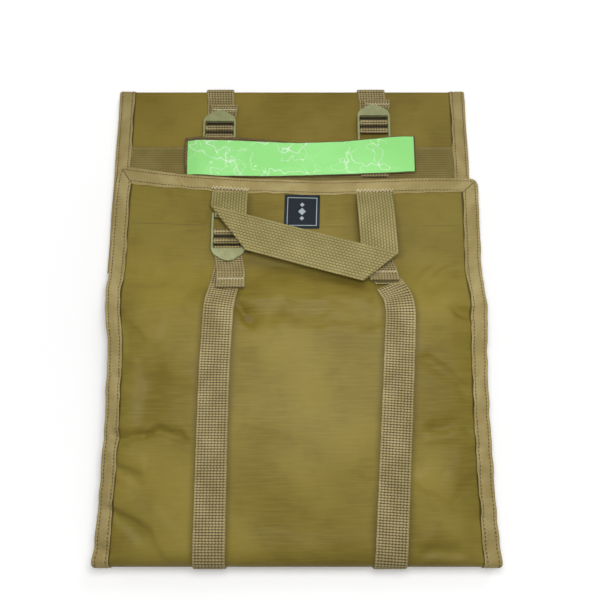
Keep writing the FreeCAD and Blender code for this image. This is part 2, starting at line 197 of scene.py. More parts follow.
class Line:
    """A sheet's mid-line in the Y-Z plane, stepped by length, with its normal on the outside."""

    def __init__(self, points, outside, soften=0.0, step=0.5):
        points = np.array(points, float)
        run = np.r_[0, np.cumsum(np.hypot(*np.diff(points, axis=0).T))]
        even = np.linspace(0, run[-1], int(run[-1] / step) + 2)
        yz = np.stack([np.interp(even, run, points[:, k]) for k in (0, 1)], 1)
        if soften:
            yz = self.soften(yz, int(3 * soften / step), soften / step)
        self.s = np.r_[0, np.cumsum(np.hypot(*np.diff(yz, axis=0).T))]
        tangent = np.gradient(yz, self.s, axis=0)
        tangent /= np.linalg.norm(tangent, axis=1)[:, None]
        self.yz = yz
        self.normal = outside * np.stack([-tangent[:, 1], tangent[:, 0]], 1)
        self.tangent = tangent
        self.length = self.s[-1]

    @staticmethod
    def soften(yz, reach, sigma):
        kernel = np.exp(-0.5 * (np.arange(-reach, reach + 1) / sigma) ** 2)
        kernel /= kernel.sum()
        steps = np.arange(1, reach + 1)[:, None]
        before = yz[0] - steps[::-1] * (yz[1] - yz[0])
        after = yz[-1] + steps * (yz[-1] - yz[-2])
        padded = np.concatenate([before, yz, after])
        return np.stack([np.convolve(padded[:, k], kernel, mode="valid") for k in (0, 1)], 1)

    def at(self, table, s):
        return np.stack([np.interp(s, self.s, table[:, k]) for k in (0, 1)], -1)

    def point(self, x, s, lift):
        x, s, lift = np.broadcast_arrays(np.asarray(x, float), s, lift)
        yz = self.at(self.yz, s) + lift[..., None] * self.at(self.normal, s)
        return np.concatenate([x[..., None], yz], -1)

    def s_at_y(self, y):
        """The length at which the line, past its lowest corner, reaches y."""
        way = 1 if self.yz[-1, 0] > self.yz[0, 0] else -1
        return float(np.interp(way * y, np.maximum.accumulate(way * self.yz[:, 0]), self.s))


class Sheet:
    """A line swept across the bed. swell(x, y, s) adds height; spread(x, s) moves points in the sheet."""

    def __init__(self, line, swell, spread):
        self.line, self.swell, self.spread = line, swell, spread

    def place(self, x, s, lift=0.0):
        x, s, lift = np.broadcast_arrays(np.asarray(x, float), s, lift)
        moved_x, moved_s = self.spread(x, s)
        yz = self.line.at(self.line.yz, moved_s)
        height = self.swell(moved_x, yz[..., 0], moved_s)
        return self.line.point(moved_x, moved_s, height + lift)


def creases(x, y, lines):
    """Height from wrinkles. Each is x0, y0, x1, y1, width, height: a bent ridge, steeper on one side."""
    x, y = (x + 3.2 * np.sin(y / 13.0 + 0.6 * np.sin(x / 19.0)) + 1.2 * np.sin(y / 5.1),
            y + 3.2 * np.sin(x / 11.0 + 0.7 * np.sin(y / 17.0)) + 1.2 * np.sin(x / 4.7 + 1.0))
    total = np.zeros(np.broadcast(x, y).shape)
    for x0, y0, x1, y1, width, height in lines:
        length = math.hypot(x1 - x0, y1 - y0)
        tx, ty = (x1 - x0) / length, (y1 - y0) / length
        along = (x - x0) * tx + (y - y0) * ty
        across = (y - y0) * tx - (x - x0) * ty
        taper = between(along, -2.2 * width, 1.6 * width)
        taper = taper * (1 - between(along, length - 1.6 * width, length + 2.2 * width))
        reach = width * np.where(across > 0, 1.7, 0.75) * (0.45 + 0.55 * taper)
        total += height * taper * np.exp(-0.5 * (across / reach) ** 2)
    return total


def rolling(x, y, size):
    """Slow unevenness of a sheet that has been folded and carried."""
    a = np.sin(x / 31.0 + 1.3 * np.sin(y / 47.0)) * np.sin(y / 39.0 + 0.8)
    b = np.sin((x + 0.6 * y) / 17.0 + 2.1) * np.sin((y - 0.4 * x) / 23.0)
    return size * (0.7 * a + 0.3 * b)


def pucker(distance, along, size, pitch):
    """Small gathers beside a sewn edge, dying away from it."""
    wave = np.sin(along / pitch) + 0.6 * np.sin(along / (pitch * 0.61) + 1.7)
    return size * wave * np.exp(-np.maximum(distance, 0) / 14.0)


# ---- the front flap's surface ----

FLAP_LINE = [(GUSSET_Y, MID_GUSSET_Z), (GUSSET_Y, 25.0), (-308.8, 29.5), (-305.5, 32.6), (-300.0, 34.1),
             (-150.0, 37.5), (-60.0, 38.5), (-6.0, 38.8), (50.0, FLAP_Z), (205.0, FLAP_Z)]
LEFT_EDGE = [(-330, -232), (-300, -231), (-230, -228.5), (-143, -227), (-60, -229), (-22, -234), (0, -238),
             (31, -238.5), (87, -239), (144, -238), (190, -232)]
RIGHT_EDGE = [(-330, 241), (-300, 240), (-212, 237.5), (-96, 237.5), (-30, 241.5), (3, 244), (31, 241.5),
              (87, 244), (171, 245.5)]
END_EDGE = [(-241, 191), (-190, 184), (-140, 178.5), (-59, 172.8), (41, 169.9), (120, 172), (196, 174.2),
            (241, 172.5)]
CORNER = 10.0                # radius of the flap's end corners
CREASE_GAIN = 2.3
HIGHEST = 2.3                # how far wrinkles may stand out, so that the unfolded flap can lie flat
FRONT_CREASES = [
    (-72, 5, 96, 9, 6.5, 1.9), (-84, -13, 40, -11, 8, -1.6), (-72, -8, -52, -27, 5, -3.0),
    (60, -8, 110, -20, 9, -1.0), (-166, 60, -128, 50, 12, 1.6), (-200, 30, -150, 24, 9, -1.2),
    (-210, -10, -170, -44, 7, 2.2), (-212, -34, -190, -60, 7, -1.6), (-181, -84, -177, -138, 12, -2.0),
    (-150, -60, -146, -140, 16, 0.9), (-214, -165, -172, -160, 3.6, -2.4),
    (-172, -160, -130, -165, 3.6, -2.2), (-212, -152, -134, -151, 5, 1.0),
    (-214, -182, -180, -200, 4.5, 1.8), (-210, -196, -176, -214, 5, -1.2),
    (-216, -233, -178, -249, 5.5, 2.4), (-178, -249, -158, -273, 6, 2.4),
    (-158, -273, -126, -304, 6.5, 2.2), (-206, -252, -170, -280, 6, -1.6), (226, 84, 166, 35, 6, 1.8),
    (214, 60, 170, 22, 6, -1.4), (196, -14, 224, -18, 5, -3.0), (190, 0, 232, 6, 6, 1.4),
    (150, -42, 214, -98, 8, 1.8), (160, -66, 206, -116, 7, -1.3), (166, -154, 216, -154, 5, -2.0),
    (160, -166, 220, -168, 5, 1.0), (143, -208, 168, -221, 5, 1.7), (168, -221, 185, -230, 5, 1.7),
    (185, -230, 214, -186, 6, 1.9), (146, -290, 194, -299, 5, -1.8), (150, -276, 200, -283, 7, 1.0),
    (-66, -22, 110, -26, 5, -0.9), (-206, 20, -130, 4, 6, 0.9), (-208, -96, -130, -108, 7, -0.8),
    (-40, -60, 60, -52, 16, 0.7), (-60, -120, 70, -132, 18, -0.8), (-30, -200, 80, -190, 20, 0.7),
    (-60, -262, 70, -268, 12, -0.7), (-60, 40, 60, 34, 9, -0.7), (-40, 128, 70, 118, 12, 0.35)]

left_edge = soft_curve(LEFT_EDGE, 9)
right_edge = soft_curve(RIGHT_EDGE, 9)
end_edge = soft_curve(END_EDGE, 8)
flap_line = Line(FLAP_LINE, 1, soften=5.5)
FLAP_START = 0.0
FLAP_END = flap_line.s_at_y(FLAP_END_Y)
HEM_S = flap_line.s_at_y(103.0)


def rounded_corner(x, s, end):
    """Draws a sheet's two end corners in to an arc."""
    over_x = np.maximum(np.abs(x) - (HALF_WIDTH - CORNER), 0)
    over_s = np.maximum(s - (end - CORNER), 0)
    pull = np.maximum(over_x, over_s) / np.maximum(np.hypot(over_x, over_s), 1e-9)
    drawn = 1 - (1 - pull) * ((over_x > 0) & (over_s > 0))
    return x - np.sign(x) * over_x * (1 - drawn), s - over_s * (1 - drawn)


def flap_spread(x, s):
    """Draws the flap's sides and end to the photo's wavy outline."""
    x, s = rounded_corner(x, s, FLAP_END)
    y = np.interp(s, flap_line.s, flap_line.yz[:, 0])
    outward = between(np.abs(x), 140, HALF_WIDTH)
    edge = np.where(x < 0, left_edge(y) + HALF_WIDTH, right_edge(y) - HALF_WIDTH)
    stretch = between(s, flap_line.s_at_y(70), FLAP_END)
    return x + edge * outward, s + (end_edge(x) - FLAP_END_Y) * stretch


def flap_swell(x, y, _):
    """Height over the flap's mid-line: crown over the pad, drooping sides, wrinkles, the hem's edge."""
    inset = HALF_WIDTH - 6 - np.abs(x)
    on_pad = between(y, -309, -286) * (1 - between(y, -4, 34))
    droop = -9.0 * between(np.abs(x), 192, 236) * on_pad
    crown = 1.6 * (1 - (x / 250.0) ** 2) * on_pad
    fade = between(y, -308, -290)
    height = (CREASE_GAIN * creases(x, y, FRONT_CREASES) + rolling(x, y, 1.1)) * fade
    height += pucker(inset - BIND, y + 0.2 * x, 1.1, 6.5) * fade
    height = np.where(height > 0, HIGHEST * np.tanh(height / HIGHEST), height)
    flat_end = 1 - 0.75 * between(y, 60, 110)
    strap_calm = 1 - 0.65 * near_strap(x, y)
    hem = 0.55 * between(y, 101.0, 103.5) - 0.35 * np.exp(-((y - 106.5) / 1.3) ** 2)
    return droop + crown + height * flat_end * strap_calm + hem


def near_strap(x, y):
    """1 under a load strap, which holds the sheet down, to 0 away from it."""
    calm = np.zeros(np.broadcast(x, y).shape)
    for centre in (LEFT_STRAP, RIGHT_STRAP):
        calm = np.maximum(calm, 1 - between(np.abs(x - centre(y)), 14, 32))
    return calm


# The middle of each load strap on the flap: x as a function of y.
LEFT_STRAP = soft_curve([(-330, -96.5), (-200, -96.5), (-84, -96), (-2, -93), (17, -89), (40, -86),
                         (80, -85)], 7)
RIGHT_STRAP = soft_curve([(-330, 111), (-308, 112), (-84, 128), (-14, 132.5), (8, 131), (30, 119), (50, 112),
                          (80, 108.5)], 6)
flap = Sheet(flap_line, flap_swell, flap_spread)


# ---- the lower sheet, and the one round the top fold ----

def arc(centre_y, centre_z, radius, start, end):
    angles = np.radians(np.linspace(start, end, 11))
    return [(centre_y + radius * math.cos(a), centre_z + radius * math.sin(a)) for a in angles]


BACK_LINE = ([(GUSSET_Y, MID_GUSSET_Z)] + arc(-304.0, BACK_Z + 6, 6, 180, 270) + [(SPLIT_Y, BACK_Z)])
TOP_LINE = ([(SPLIT_Y, BACK_Z), (FOLD_Y - 1, BACK_Z)] + arc(FOLD_Y, FOLD_Z, FOLD_R, -80, 80)
            + [(FOLD_Y - 1, TOP_Z), (TOP_END_Y, TOP_Z)])
BACK_CREASES = [(-200, -120, -120, -150, 12, 0.8), (60, 20, 170, 60, 14, 0.8), (-160, 180, -60, 150, 12, 0.7),
                (100, -220, 190, -190, 10, 0.8), (-210, 60, -150, 40, 9, 0.7), (20, -60, 50, 90, 16, -0.6)]
TOP_CREASES = [(-122, 300, -150, 288, 5, 1.2), (-78, 296, -40, 292, 8, -0.7), (170, 250, 196, 226, 5, 1.3),
               (182, 262, 214, 232, 6, -0.9), (-216, 262, -150, 256, 8, 0.7), (-40, 262, 70, 268, 13, 0.8),
               (-30, 242, 60, 238, 9, -0.6), (140, 286, 214, 290, 9, 0.7), (-214, 120, -100, 100, 14, 0.8),
               (60, 90, 180, 120, 14, -0.8)]
back_line = Line(BACK_LINE, -1, soften=1.5)
top_line = Line(TOP_LINE, -1, soften=1.0)
TOP_FLAT_S = top_line.length - (FOLD_Y - TOP_END_Y)


def back_spread(x, s):
    """Draws the lower sheet's sides in, most in its lower half, to keep them behind the flap's."""
    y = np.interp(s, back_line.s, back_line.yz[:, 0])
    outward = between(np.abs(x), 140, HALF_WIDTH)
    low = 1 - between(y, 10, 160)
    high = between(y, 10, 280)
    tucked = between(y, -309, -280) * low
    edge = np.where(x < 0, 9.0 * low - 2.5 * high + 3.0 * tucked, -0.5 * low - 3.5 * high - 6.0 * tucked)
    return x + edge * outward, s


def back_swell(x, y, _):
    fade = between(y, -300, -270) * (1 - between(y, 262, 278))
    return (creases(x, y, BACK_CREASES) * 0.7 + rolling(x, y, 0.35)) * fade - 0.3 * fade


def top_spread(x, s):
    outward = between(np.abs(x), 140, HALF_WIDTH)
    return x + np.where(x < 0, -2.5, -3.5) * outward, s


def top_swell(x, y, s):
    fade = between(s, TOP_FLAT_S + 2, TOP_FLAT_S + 26)
    fade = fade * (1 - between(s, top_line.length - 40, top_line.length))
    return np.maximum(creases(x, y, TOP_CREASES) + rolling(x, y, 0.45) + 0.3, 0.0) * fade


back = Sheet(back_line, back_swell, back_spread)
top = Sheet(top_line, top_swell, top_spread)


# ---- materials ----

def linear(code):
    """A web colour as linear light."""
    values = [int(code[i:i + 2], 16) / 255 for i in (0, 2, 4)]
    return [v / 12.92 if v <= 0.04045 else ((v + 0.055) / 1.055) ** 2.4 for v in values] + [1.0]


class Graph:
    """A node material under construction."""

    def __init__(self, name, roughness, specular=0.4):
        self.material = bpy.data.materials.new(name)
        self.material.use_nodes = True
        self.tree = self.material.node_tree
        self.shader = self.tree.nodes["Principled BSDF"]
        self.set("Roughness", roughness)
        self.set("Specular IOR Level", specular)

    def set(self, name, value):
        self.feed(self.shader.inputs[name], value)

    def feed(self, socket, value):
        if isinstance(value, bpy.types.NodeSocket):
            self.tree.links.new(value, socket)
        else:
            socket.default_value = value

    def place(self, kind="UV"):
        node = self.tree.nodes.new("ShaderNodeTexCoord")
        return node.outputs[kind]

    def shaded(self, colour, shade_colour):
        """The colour, turning to the given shade colour where set_shade has painted shade on the mesh."""
        node = self.tree.nodes.new("ShaderNodeAttribute")
        node.attribute_name = "shade"
        return self.mix(node.outputs["Fac"], colour, shade_colour)

    def split(self, vector):
        node = self.tree.nodes.new("ShaderNodeSeparateXYZ")
        self.feed(node.inputs[0], vector)
        return node.outputs[0], node.outputs[1], node.outputs[2]

    def join(self, x, y, z=0.0):
        node = self.tree.nodes.new("ShaderNodeCombineXYZ")
        for socket, value in zip(node.inputs, (x, y, z)):
            self.feed(socket, value)
        return node.outputs[0]

    def calc(self, operation, *values):
        node = self.tree.nodes.new("ShaderNodeMath")
        node.operation = operation
        for socket, value in zip(node.inputs, values):
            self.feed(socket, value)
        return node.outputs[0]

    def times(self, a, b):
        return self.calc("MULTIPLY", a, b)

    def plus(self, a, b):
        return self.calc("ADD", a, b)

    def minus(self, a, b):
        return self.calc("SUBTRACT", a, b)

    def rest(self, value):
        return self.minus(1.0, value)

    def size(self, value):
        return self.calc("ABSOLUTE", value)

    def noise(self, vector, scale, detail=3.0, rough=0.55):
        node = self.tree.nodes.new("ShaderNodeTexNoise")
        self.feed(node.inputs["Vector"], vector)
        node.inputs["Scale"].default_value = scale
        node.inputs["Detail"].default_value = detail
        node.inputs["Roughness"].default_value = rough
        return node.outputs["Fac"]

    def ramp(self, value, low, high):
        node = self.tree.nodes.new("ShaderNodeMapRange")
        node.interpolation_type = "SMOOTHSTEP"
        self.feed(node.inputs["Value"], value)
        node.inputs["From Min"].default_value = low
        node.inputs["From Max"].default_value = high
        return node.outputs["Result"]

    def mix(self, factor, a, b):
        node = self.tree.nodes.new("ShaderNodeMix")
        node.data_type = "RGBA"
        self.feed(node.inputs["Factor"], factor)
        self.feed(node.inputs["A"], linear(a) if isinstance(a, str) else a)
        self.feed(node.inputs["B"], linear(b) if isinstance(b, str) else b)
        return node.outputs["Result"]

    def bump(self, height, distance, strength):
        node = self.tree.nodes.new("ShaderNodeBump")
        node.inputs["Strength"].default_value = strength
        node.inputs["Distance"].default_value = distance
        self.feed(node.inputs["Height"], height)
        self.set("Normal", node.outputs["Normal"])

    def wave(self, value, pitch):
        """A cosine of a length in metres, 0 to 1."""
        cosine = self.calc("COSINE", self.times(value, 2 * math.pi / pitch))
        return self.calc("MULTIPLY_ADD", cosine, 0.5, 0.5)


def sheet_material(name, base, light, dark, grain=1.0):
    """Coated plain-weave nylon: fine threads, faint streaks along the weft and soft handling marks, with a
    painted shadow along the binding's inner edge and painted shade where set_shade marks the mesh.
    """
    g = Graph(name, 0.5, 0.22)
    uv = g.place()
    u, v, _ = g.split(uv)
    weft = g.wave(v, 0.00125)
    warp = g.wave(u, 0.00105)
    twill = g.wave(g.plus(u, g.times(v, 0.8)), 0.0031)
    streak = g.noise(g.join(g.times(u, 26.0), g.times(v, 420.0)), 1.0, 3.0)
    marks = g.noise(uv, 7.0, 4.0, 0.6)
    patches = g.noise(uv, 28.0, 3.0, 0.6)
    speckle = g.noise(uv, 900.0, 2.0, 0.7)
    colour = g.mix(g.ramp(marks, 0.36, 0.66), dark, light)
    colour = g.mix(0.4, colour, base)
    colour = g.mix(g.times(g.ramp(streak, 0.35, 0.75), 0.34 * grain), colour, light)
    colour = g.mix(g.times(g.ramp(speckle, 0.45, 0.75), 0.16 * grain), colour, dark)
    colour = g.mix(g.times(g.ramp(patches, 0.45, 0.75), 0.20), colour, dark)
    colour = g.mix(g.times(twill, 0.07 * grain), colour, dark)
    # Painted shadow: a dark line on the sheet beside the binding's inner edge, where the tape stands off it.
    beside = g.minus((HALF_WIDTH - BIND) * MM, g.size(u))
    binding_shadow = g.rest(g.ramp(beside, 0.0006, 0.0026))
    colour = g.mix(g.times(binding_shadow, 0.75), colour, "3A2E12")
    # Painted shade where set_shade has marked the mesh.
    g.set("Base Color", g.shaded(colour, "3E3410"))
    g.set("Roughness", g.plus(g.times(marks, 0.16), 0.46))
    g.set("Sheen Weight", 0.06)
    g.set("Sheen Roughness", 0.45)
    g.set("Sheen Tint", linear(light))
    threads = g.plus(g.times(weft, warp), g.times(streak, 0.5))
    g.bump(g.plus(threads, g.times(speckle, 0.5)), 0.00010, 0.55)
    return g.material


def weave_nodes(g, u, v, weave):
    """How raised the weave is, 0 to 1, worked out as weave_relief does for the mesh."""
    column, row, row_step, column_step, fall_u, fall_v = weave
    a, b = g.calc("DIVIDE", u, column * MM), g.calc("DIVIDE", v, row * MM)
    odd_column, odd_row = (g.calc("FLOORED_MODULO", g.calc("FLOOR", at), 2.0) for at in (a, b))
    a = g.plus(a, g.times(odd_row, row_step))
    b = g.plus(b, g.times(odd_column, column_step))
    raised = 1.0
    for place, fall in ((a, fall_u), (b, fall_v)):
        off = g.minus(g.times(g.calc("FRACT", place), 2.0), 1.0)
        raised = g.minus(raised, g.times(g.times(off, off), fall))
    return g.calc("MAXIMUM", raised, 0.0)


def webbing_material(name, base, light, dark, weave, width, depth=1.0):
    """Nylon webbing: rounded dashes, thread by thread, with painted shade between the dashes, as strong as
    depth and halved at the paler selvedge, and a painted highlight on their crowns.
    """
    g = Graph(name, 0.62, 0.25)
    uv = g.place()
    u, v, _ = g.split(uv)
    raised = weave_nodes(g, u, v, weave)
    threads = g.wave(g.plus(v, g.times(u, 0.7)), 0.00082)
    fuzz = g.noise(uv, 1300.0, 2.0, 0.7)
    wear = g.noise(uv, 19.0, 4.0, 0.6)
    middle = g.size(g.minus(u, width * MM / 2))
    selvedge = g.ramp(middle, width * MM / 2 - 0.0032, width * MM / 2 - 0.0018)
    colour = g.mix(g.ramp(wear, 0.34, 0.68), base, light)
    # Painted shade between the dashes, halved at the selvedge, then a painted highlight on their crowns.
    gap_shade = g.rest(g.ramp(raised, 0.02, 0.80))
    gap_shade = g.times(gap_shade, g.minus(depth, g.times(selvedge, 0.5 * depth)))
    colour = g.mix(gap_shade, colour, dark)
    colour = g.mix(g.times(g.ramp(raised, 0.72, 1.0), 0.5), colour, light)
    colour = g.mix(g.times(g.ramp(fuzz, 0.42, 0.78), 0.22), colour, dark)
    colour = g.mix(g.times(threads, 0.14), colour, light)
    # Painted shade where set_shade has marked the webbing.
    g.set("Base Color", g.shaded(colour, "1C1509"))
    g.set("Sheen Weight", 0.2)
    g.set("Sheen Roughness", 0.5)
    g.set("Sheen Tint", linear(light))
    height = g.plus(g.times(threads, 0.5), g.plus(fuzz, g.times(raised, 3.0)))
    g.bump(height, 0.00012, 0.8)
    return g.material


def tape_material(name, base, light, dark):
    """Narrow-woven binding tape: close ribs along its length, paler where it has rubbed."""
    g = Graph(name, 0.6, 0.35)
    uv = g.place()
    u, v, _ = g.split(uv)
    ribs = g.wave(v, 0.0011)
    fine = g.wave(u, 0.0009)
    turn = g.size(g.minus(g.size(v), 0.010))
    herring = g.wave(g.plus(u, turn), 0.0032)
    rub = g.noise(uv, 24.0, 4.0, 0.6)
    fuzz = g.noise(uv, 1100.0, 2.0, 0.7)
    colour = g.mix(g.ramp(rub, 0.36, 0.66), base, light)
    colour = g.mix(g.times(ribs, 0.15), colour, dark)
    colour = g.mix(g.times(herring, 0.26), colour, dark)
    colour = g.mix(g.times(g.ramp(fuzz, 0.4, 0.8), 0.22), colour, dark)
    g.set("Base Color", colour)
    g.set("Sheen Weight", 0.25)
    g.set("Sheen Tint", linear(light))
    threads = g.plus(g.times(ribs, fine), g.times(herring, 1.5))
    g.bump(g.plus(threads, g.times(fuzz, 0.8)), 0.00016, 0.8)
    return g.material


def plastic_material(name, base, light, dark):
    """Moulded acetal: a fine spark-eroded grain, rubbed smooth and paler in places."""
    g = Graph(name, 0.48, 0.5)
    where = g.place("Object")
    grain = g.noise(where, 2600.0, 2.0, 0.6)
    rub = g.noise(where, 95.0, 4.0, 0.65)
    cloud = g.noise(where, 22.0, 2.0, 0.5)
    colour = g.mix(g.ramp(rub, 0.42, 0.72), base, light)
    colour = g.mix(g.times(g.ramp(cloud, 0.4, 0.8), 0.3), colour, dark)
    g.set("Base Color", colour)
    g.set("Roughness", g.plus(g.times(rub, 0.2), 0.36))
    g.bump(grain, 0.00006, 0.5)
    return g.material


# Painted reflections of the light on the film's wrinkles: scale of the noise, the level the line follows, its
# width, and the scale of its mask.
REFLECTION_LINES = ((11.0, 0.50, 0.0060, 8.0), (15.0, 0.57, 0.0065, 11.0), (26.0, 0.44, 0.008, 17.0))


def film_material(name):
    """Glossy retro-reflective film on a soft backing, with pale hairlines and specks painted on as
    reflections of the light on its wrinkles.
    """
    g = Graph(name, 0.5, 0.3)
    uv = g.place()
    pale, near = 0.0, 0.0
    for scale, level, width, mask_scale in REFLECTION_LINES:
        contour = g.noise(uv, scale, 3.0, 0.5)
        line = g.size(g.minus(contour, level))
        shown = g.ramp(g.noise(uv, mask_scale, 2.0, 0.5), 0.40, 0.50)
        reflection_line = g.rest(g.ramp(line, 0.0, width))
        reflection_halo = g.rest(g.ramp(line, 0.0, 5 * width))
        crumbs = g.ramp(g.noise(uv, 230.0, 3.0, 0.7), 0.60, 0.70)
        pale = g.calc("MAXIMUM", pale, g.times(reflection_line, shown))
        near = g.calc("MAXIMUM", near, g.times(reflection_halo, g.times(crumbs, shown)))
    tone = g.noise(uv, 6.0, 2.0, 0.5)
    colour = g.mix(g.ramp(tone, 0.35, 0.7), "92E07E", "A0EA90")
    # Painted reflection: the pale lines and specks are mixed into the green.
    colour = g.mix(g.times(g.calc("MAXIMUM", pale, near), 0.8), colour, "E4F8DE")
    g.set("Base Color", colour)
    g.set("Coat Weight", 0.12)
    g.set("Coat Roughness", 0.3)
    g.bump(g.plus(pale, g.times(g.noise(uv, 240.0, 3.0, 0.6), 0.4)), 0.0004, 0.6)
    return g.material


def hook_material(name, base, light, dark):
    """Woven hook tape: rows of tiny hooks that read as a coarse brown nap."""
    g = Graph(name, 0.75, 0.25)
    uv = g.place()
    u, v, _ = g.split(uv)
    rows = g.times(g.wave(u, 0.0021), g.wave(v, 0.0019))
    fuzz = g.noise(uv, 700.0, 3.0, 0.7)
    colour = g.mix(g.ramp(fuzz, 0.35, 0.7), dark, base)
    colour = g.mix(g.times(rows, 0.4), colour, light)
    g.set("Base Color", colour)
    g.set("Sheen Weight", 0.3)
    g.bump(g.plus(rows, fuzz), 0.0006, 0.8)
    return g.material


def thread_material(name, base, light):
    g = Graph(name, 0.55, 0.4)
    twist = g.wave(g.split(g.place("Object"))[0], 0.0006)
    speck = g.noise(g.place("Object"), 260.0, 2.0, 0.6)
    g.set("Base Color", g.mix(g.ramp(speck, 0.3, 0.7), base, light))
    g.set("Sheen Weight", 0.2)
    g.bump(twist, 0.0001, 0.5)
    return g.material


def label_material(name):
    """A near-black damask label: a pale woven border and three small lozenges."""
    g = Graph(name, 0.7, 0.3)
    uv = g.place()
    u, v, _ = g.split(uv)
    fu, fv = g.size(u), g.size(v)
    reach = g.calc("MAXIMUM", fu, fv)
    marks = g.times(g.ramp(reach, 0.0186, 0.0189), g.rest(g.ramp(reach, 0.0196, 0.0199)))
    for shift, size in ((-0.0095, 0.0028), (0.0, 0.0048), (0.0095, 0.0028)):
        lozenge = g.plus(g.size(g.minus(v, shift)), fu)
        marks = g.calc("MAXIMUM", marks, g.rest(g.ramp(lozenge, size, size + 0.0005)))
    weave = g.times(g.wave(u, 0.0007), g.wave(v, 0.0005))
    fuzz = g.noise(uv, 1500.0, 2.0, 0.7)
    cloth = g.mix(g.times(fuzz, 0.6), "0C161C", "1B2A33")
    pale = g.mix(g.times(weave, 0.6), "A9B4B8", "6E7A80")
    g.set("Base Color", g.mix(marks, cloth, pale))
    g.set("Sheen Weight", 0.1)
    g.bump(g.plus(weave, g.plus(fuzz, marks)), 0.0001, 0.6)
    return g.material


# Weaves: dash width and length in millimetres, step of alternate rows and of columns, fall across and along.
NARROW_WEAVE = (3.8, 3.1, 0.12, 0.0, 0.55, 0.92)
WIDE_WEAVE = (WIDE_WIDTH / 13, 4.6, 0.0, 0.5, 0.72, 0.6)
BAND_WEAVE = (2.7, 3.4, 0.0, 0.5, 0.75, 0.6)

NYLON = sheet_material("nylon", "80702A", "97873C", "68581B")
# The top panel's nylon is a slightly darker copy of the flap's, as painted shade on that less lit part.
TOP_NYLON = sheet_material("top_nylon", "806F2B", "907F37", "6C5C1E")
FACING = sheet_material("facing_nylon", "75632E", "806E36", "6A5826")
TAPE = tape_material("binding_tape", "A8955C", "BEAD75", "5E4F28")
WEBBING = webbing_material("strap_webbing", "8E7F4E", "B6A676", "281F0B", NARROW_WEAVE, STRAP_WIDTH)
WIDE_WEBBING = webbing_material("wide_webbing", "8E8450", "A79C66", "544A22", WIDE_WEAVE, WIDE_WIDTH, 0.95)
BAND_WEBBING = webbing_material("band_webbing", "7C6E38", "92834A", "463B1A", BAND_WEAVE, 50.0, 0.85)
PLASTIC = plastic_material("lock_plastic", "8E9061", "9DA072", "777950")
FILM = film_material("marker_film")
HOOK = hook_material("hook_backing", "6B5530", "83703F", "40301A")
CREAM = thread_material("cream_thread", "CFC39A", "E2D9B6")
BROWN = thread_material("brown_thread", "4A3B1C", "5E4D27")
PALE = thread_material("pale_thread", "8C7A46", "A3915A")
HEM_THREAD = thread_material("hem_thread", "615122", "74642E")
DARK = thread_material("dark_thread", "1A242A", "2B373D")
LABEL = label_material("label_weave")
PAD = sheet_material("pad_cover", "6F6034", "7C6C3D", "5E5029", 1.4)


# ---- sewn pieces ----

def ride(piece, body, slot, *nodes):
    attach(piece, body)
    return dress(piece, slot, *nodes)


def bend(piece, a, b, start, end, slot, *nodes):
    """Bakes the piece's transform and hides the given parts. start and end, (x, y, z) in millimetres, are not
    used.
    """
    tuple(c * MM for c in start)
    tuple(c * MM for c in end)
    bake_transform(piece)
    return dress(piece, slot, *nodes)


def dress(piece, slot, *nodes):
    if nodes:
        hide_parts(*nodes)
    return piece


LOWER_BEND = ((0, -301.0, 5.0), (0, -310.0, 12.0))   # back panel to gusset, round the bed's bottom corner
UPPER_BEND = ((0, -309.0, 0), (0, -302.0, 0))     # gusset to front flap
TOP_BEND = ((0, 0, 5.75), (0, 0, 6.85))           # back panel to top flap
TOP_STRAP_BEND = ((0, 0, 2.9), (0, 0, 9.7))       # the same for straps, which lie outside the sheets


def bender(a, b, band):
    def hold(piece, *nodes, slot="sheet_nylon"):
        return bend(piece, a, b, *band, slot, *nodes)
    return hold


with_back = bender("back_panel", "bottom_gusset", LOWER_BEND)
with_flap = bender("bottom_gusset", "front_flap", UPPER_BEND)
with_top = bender("back_panel", "top_flap", TOP_BEND)


def cloth(name, surface, lengths, step, material):
    """A sheet inside its binding, with points every step across and at the given lengths along."""
    half = HALF_WIDTH - 1.5
    x, s = np.meshgrid(np.linspace(-half, half, int(2 * half / step) + 1), lengths)
    uv = np.stack([x, s], -1)
    return closed_sheet(name, surface.place(x, s, SHEET / 2), surface.place(x, s, -SHEET / 2), uv, material)


def steps_with_fold(line, s0, s1, step, fine):
    """Lengths along a line, closer together where it turns."""
    turn = np.abs(np.gradient(np.unwrap(np.arctan2(line.tangent[:, 1], line.tangent[:, 0])), line.s))
    density = 1 / step + (1 / fine - 1 / step) * np.clip(turn / 0.03, 0, 1)
    total = np.r_[0, np.cumsum(0.5 * (density[1:] + density[:-1]) * np.diff(line.s))]
    first, last = np.interp([s0, s1], line.s, total)
    return np.interp(np.linspace(first, last, int(last - first) + 2), total, line.s)


# Half the binding's cross-section: distance in from the sheet's edge, and height over the sheet's middle.
BIND_PROFILE = [(17.6, 0.75), (19.8, 1.15), (20.1, 1.7), (19.3, 2.15), (17.9, 2.0), (16.8, 1.25),
                (15.6, 1.75), (12.5, 1.95), (8.0, 1.95), (4.6, 1.7), (3.4, 1.2), (2.3, 1.75),
                (0.9, 1.6), (-0.1, 1.2), (-0.6, 0.6), (-0.75, 0.0)]
OUTER_ROW, INNER_ROW = 3.4, 16.6        # the binding's two rows of stitches, in from the edge


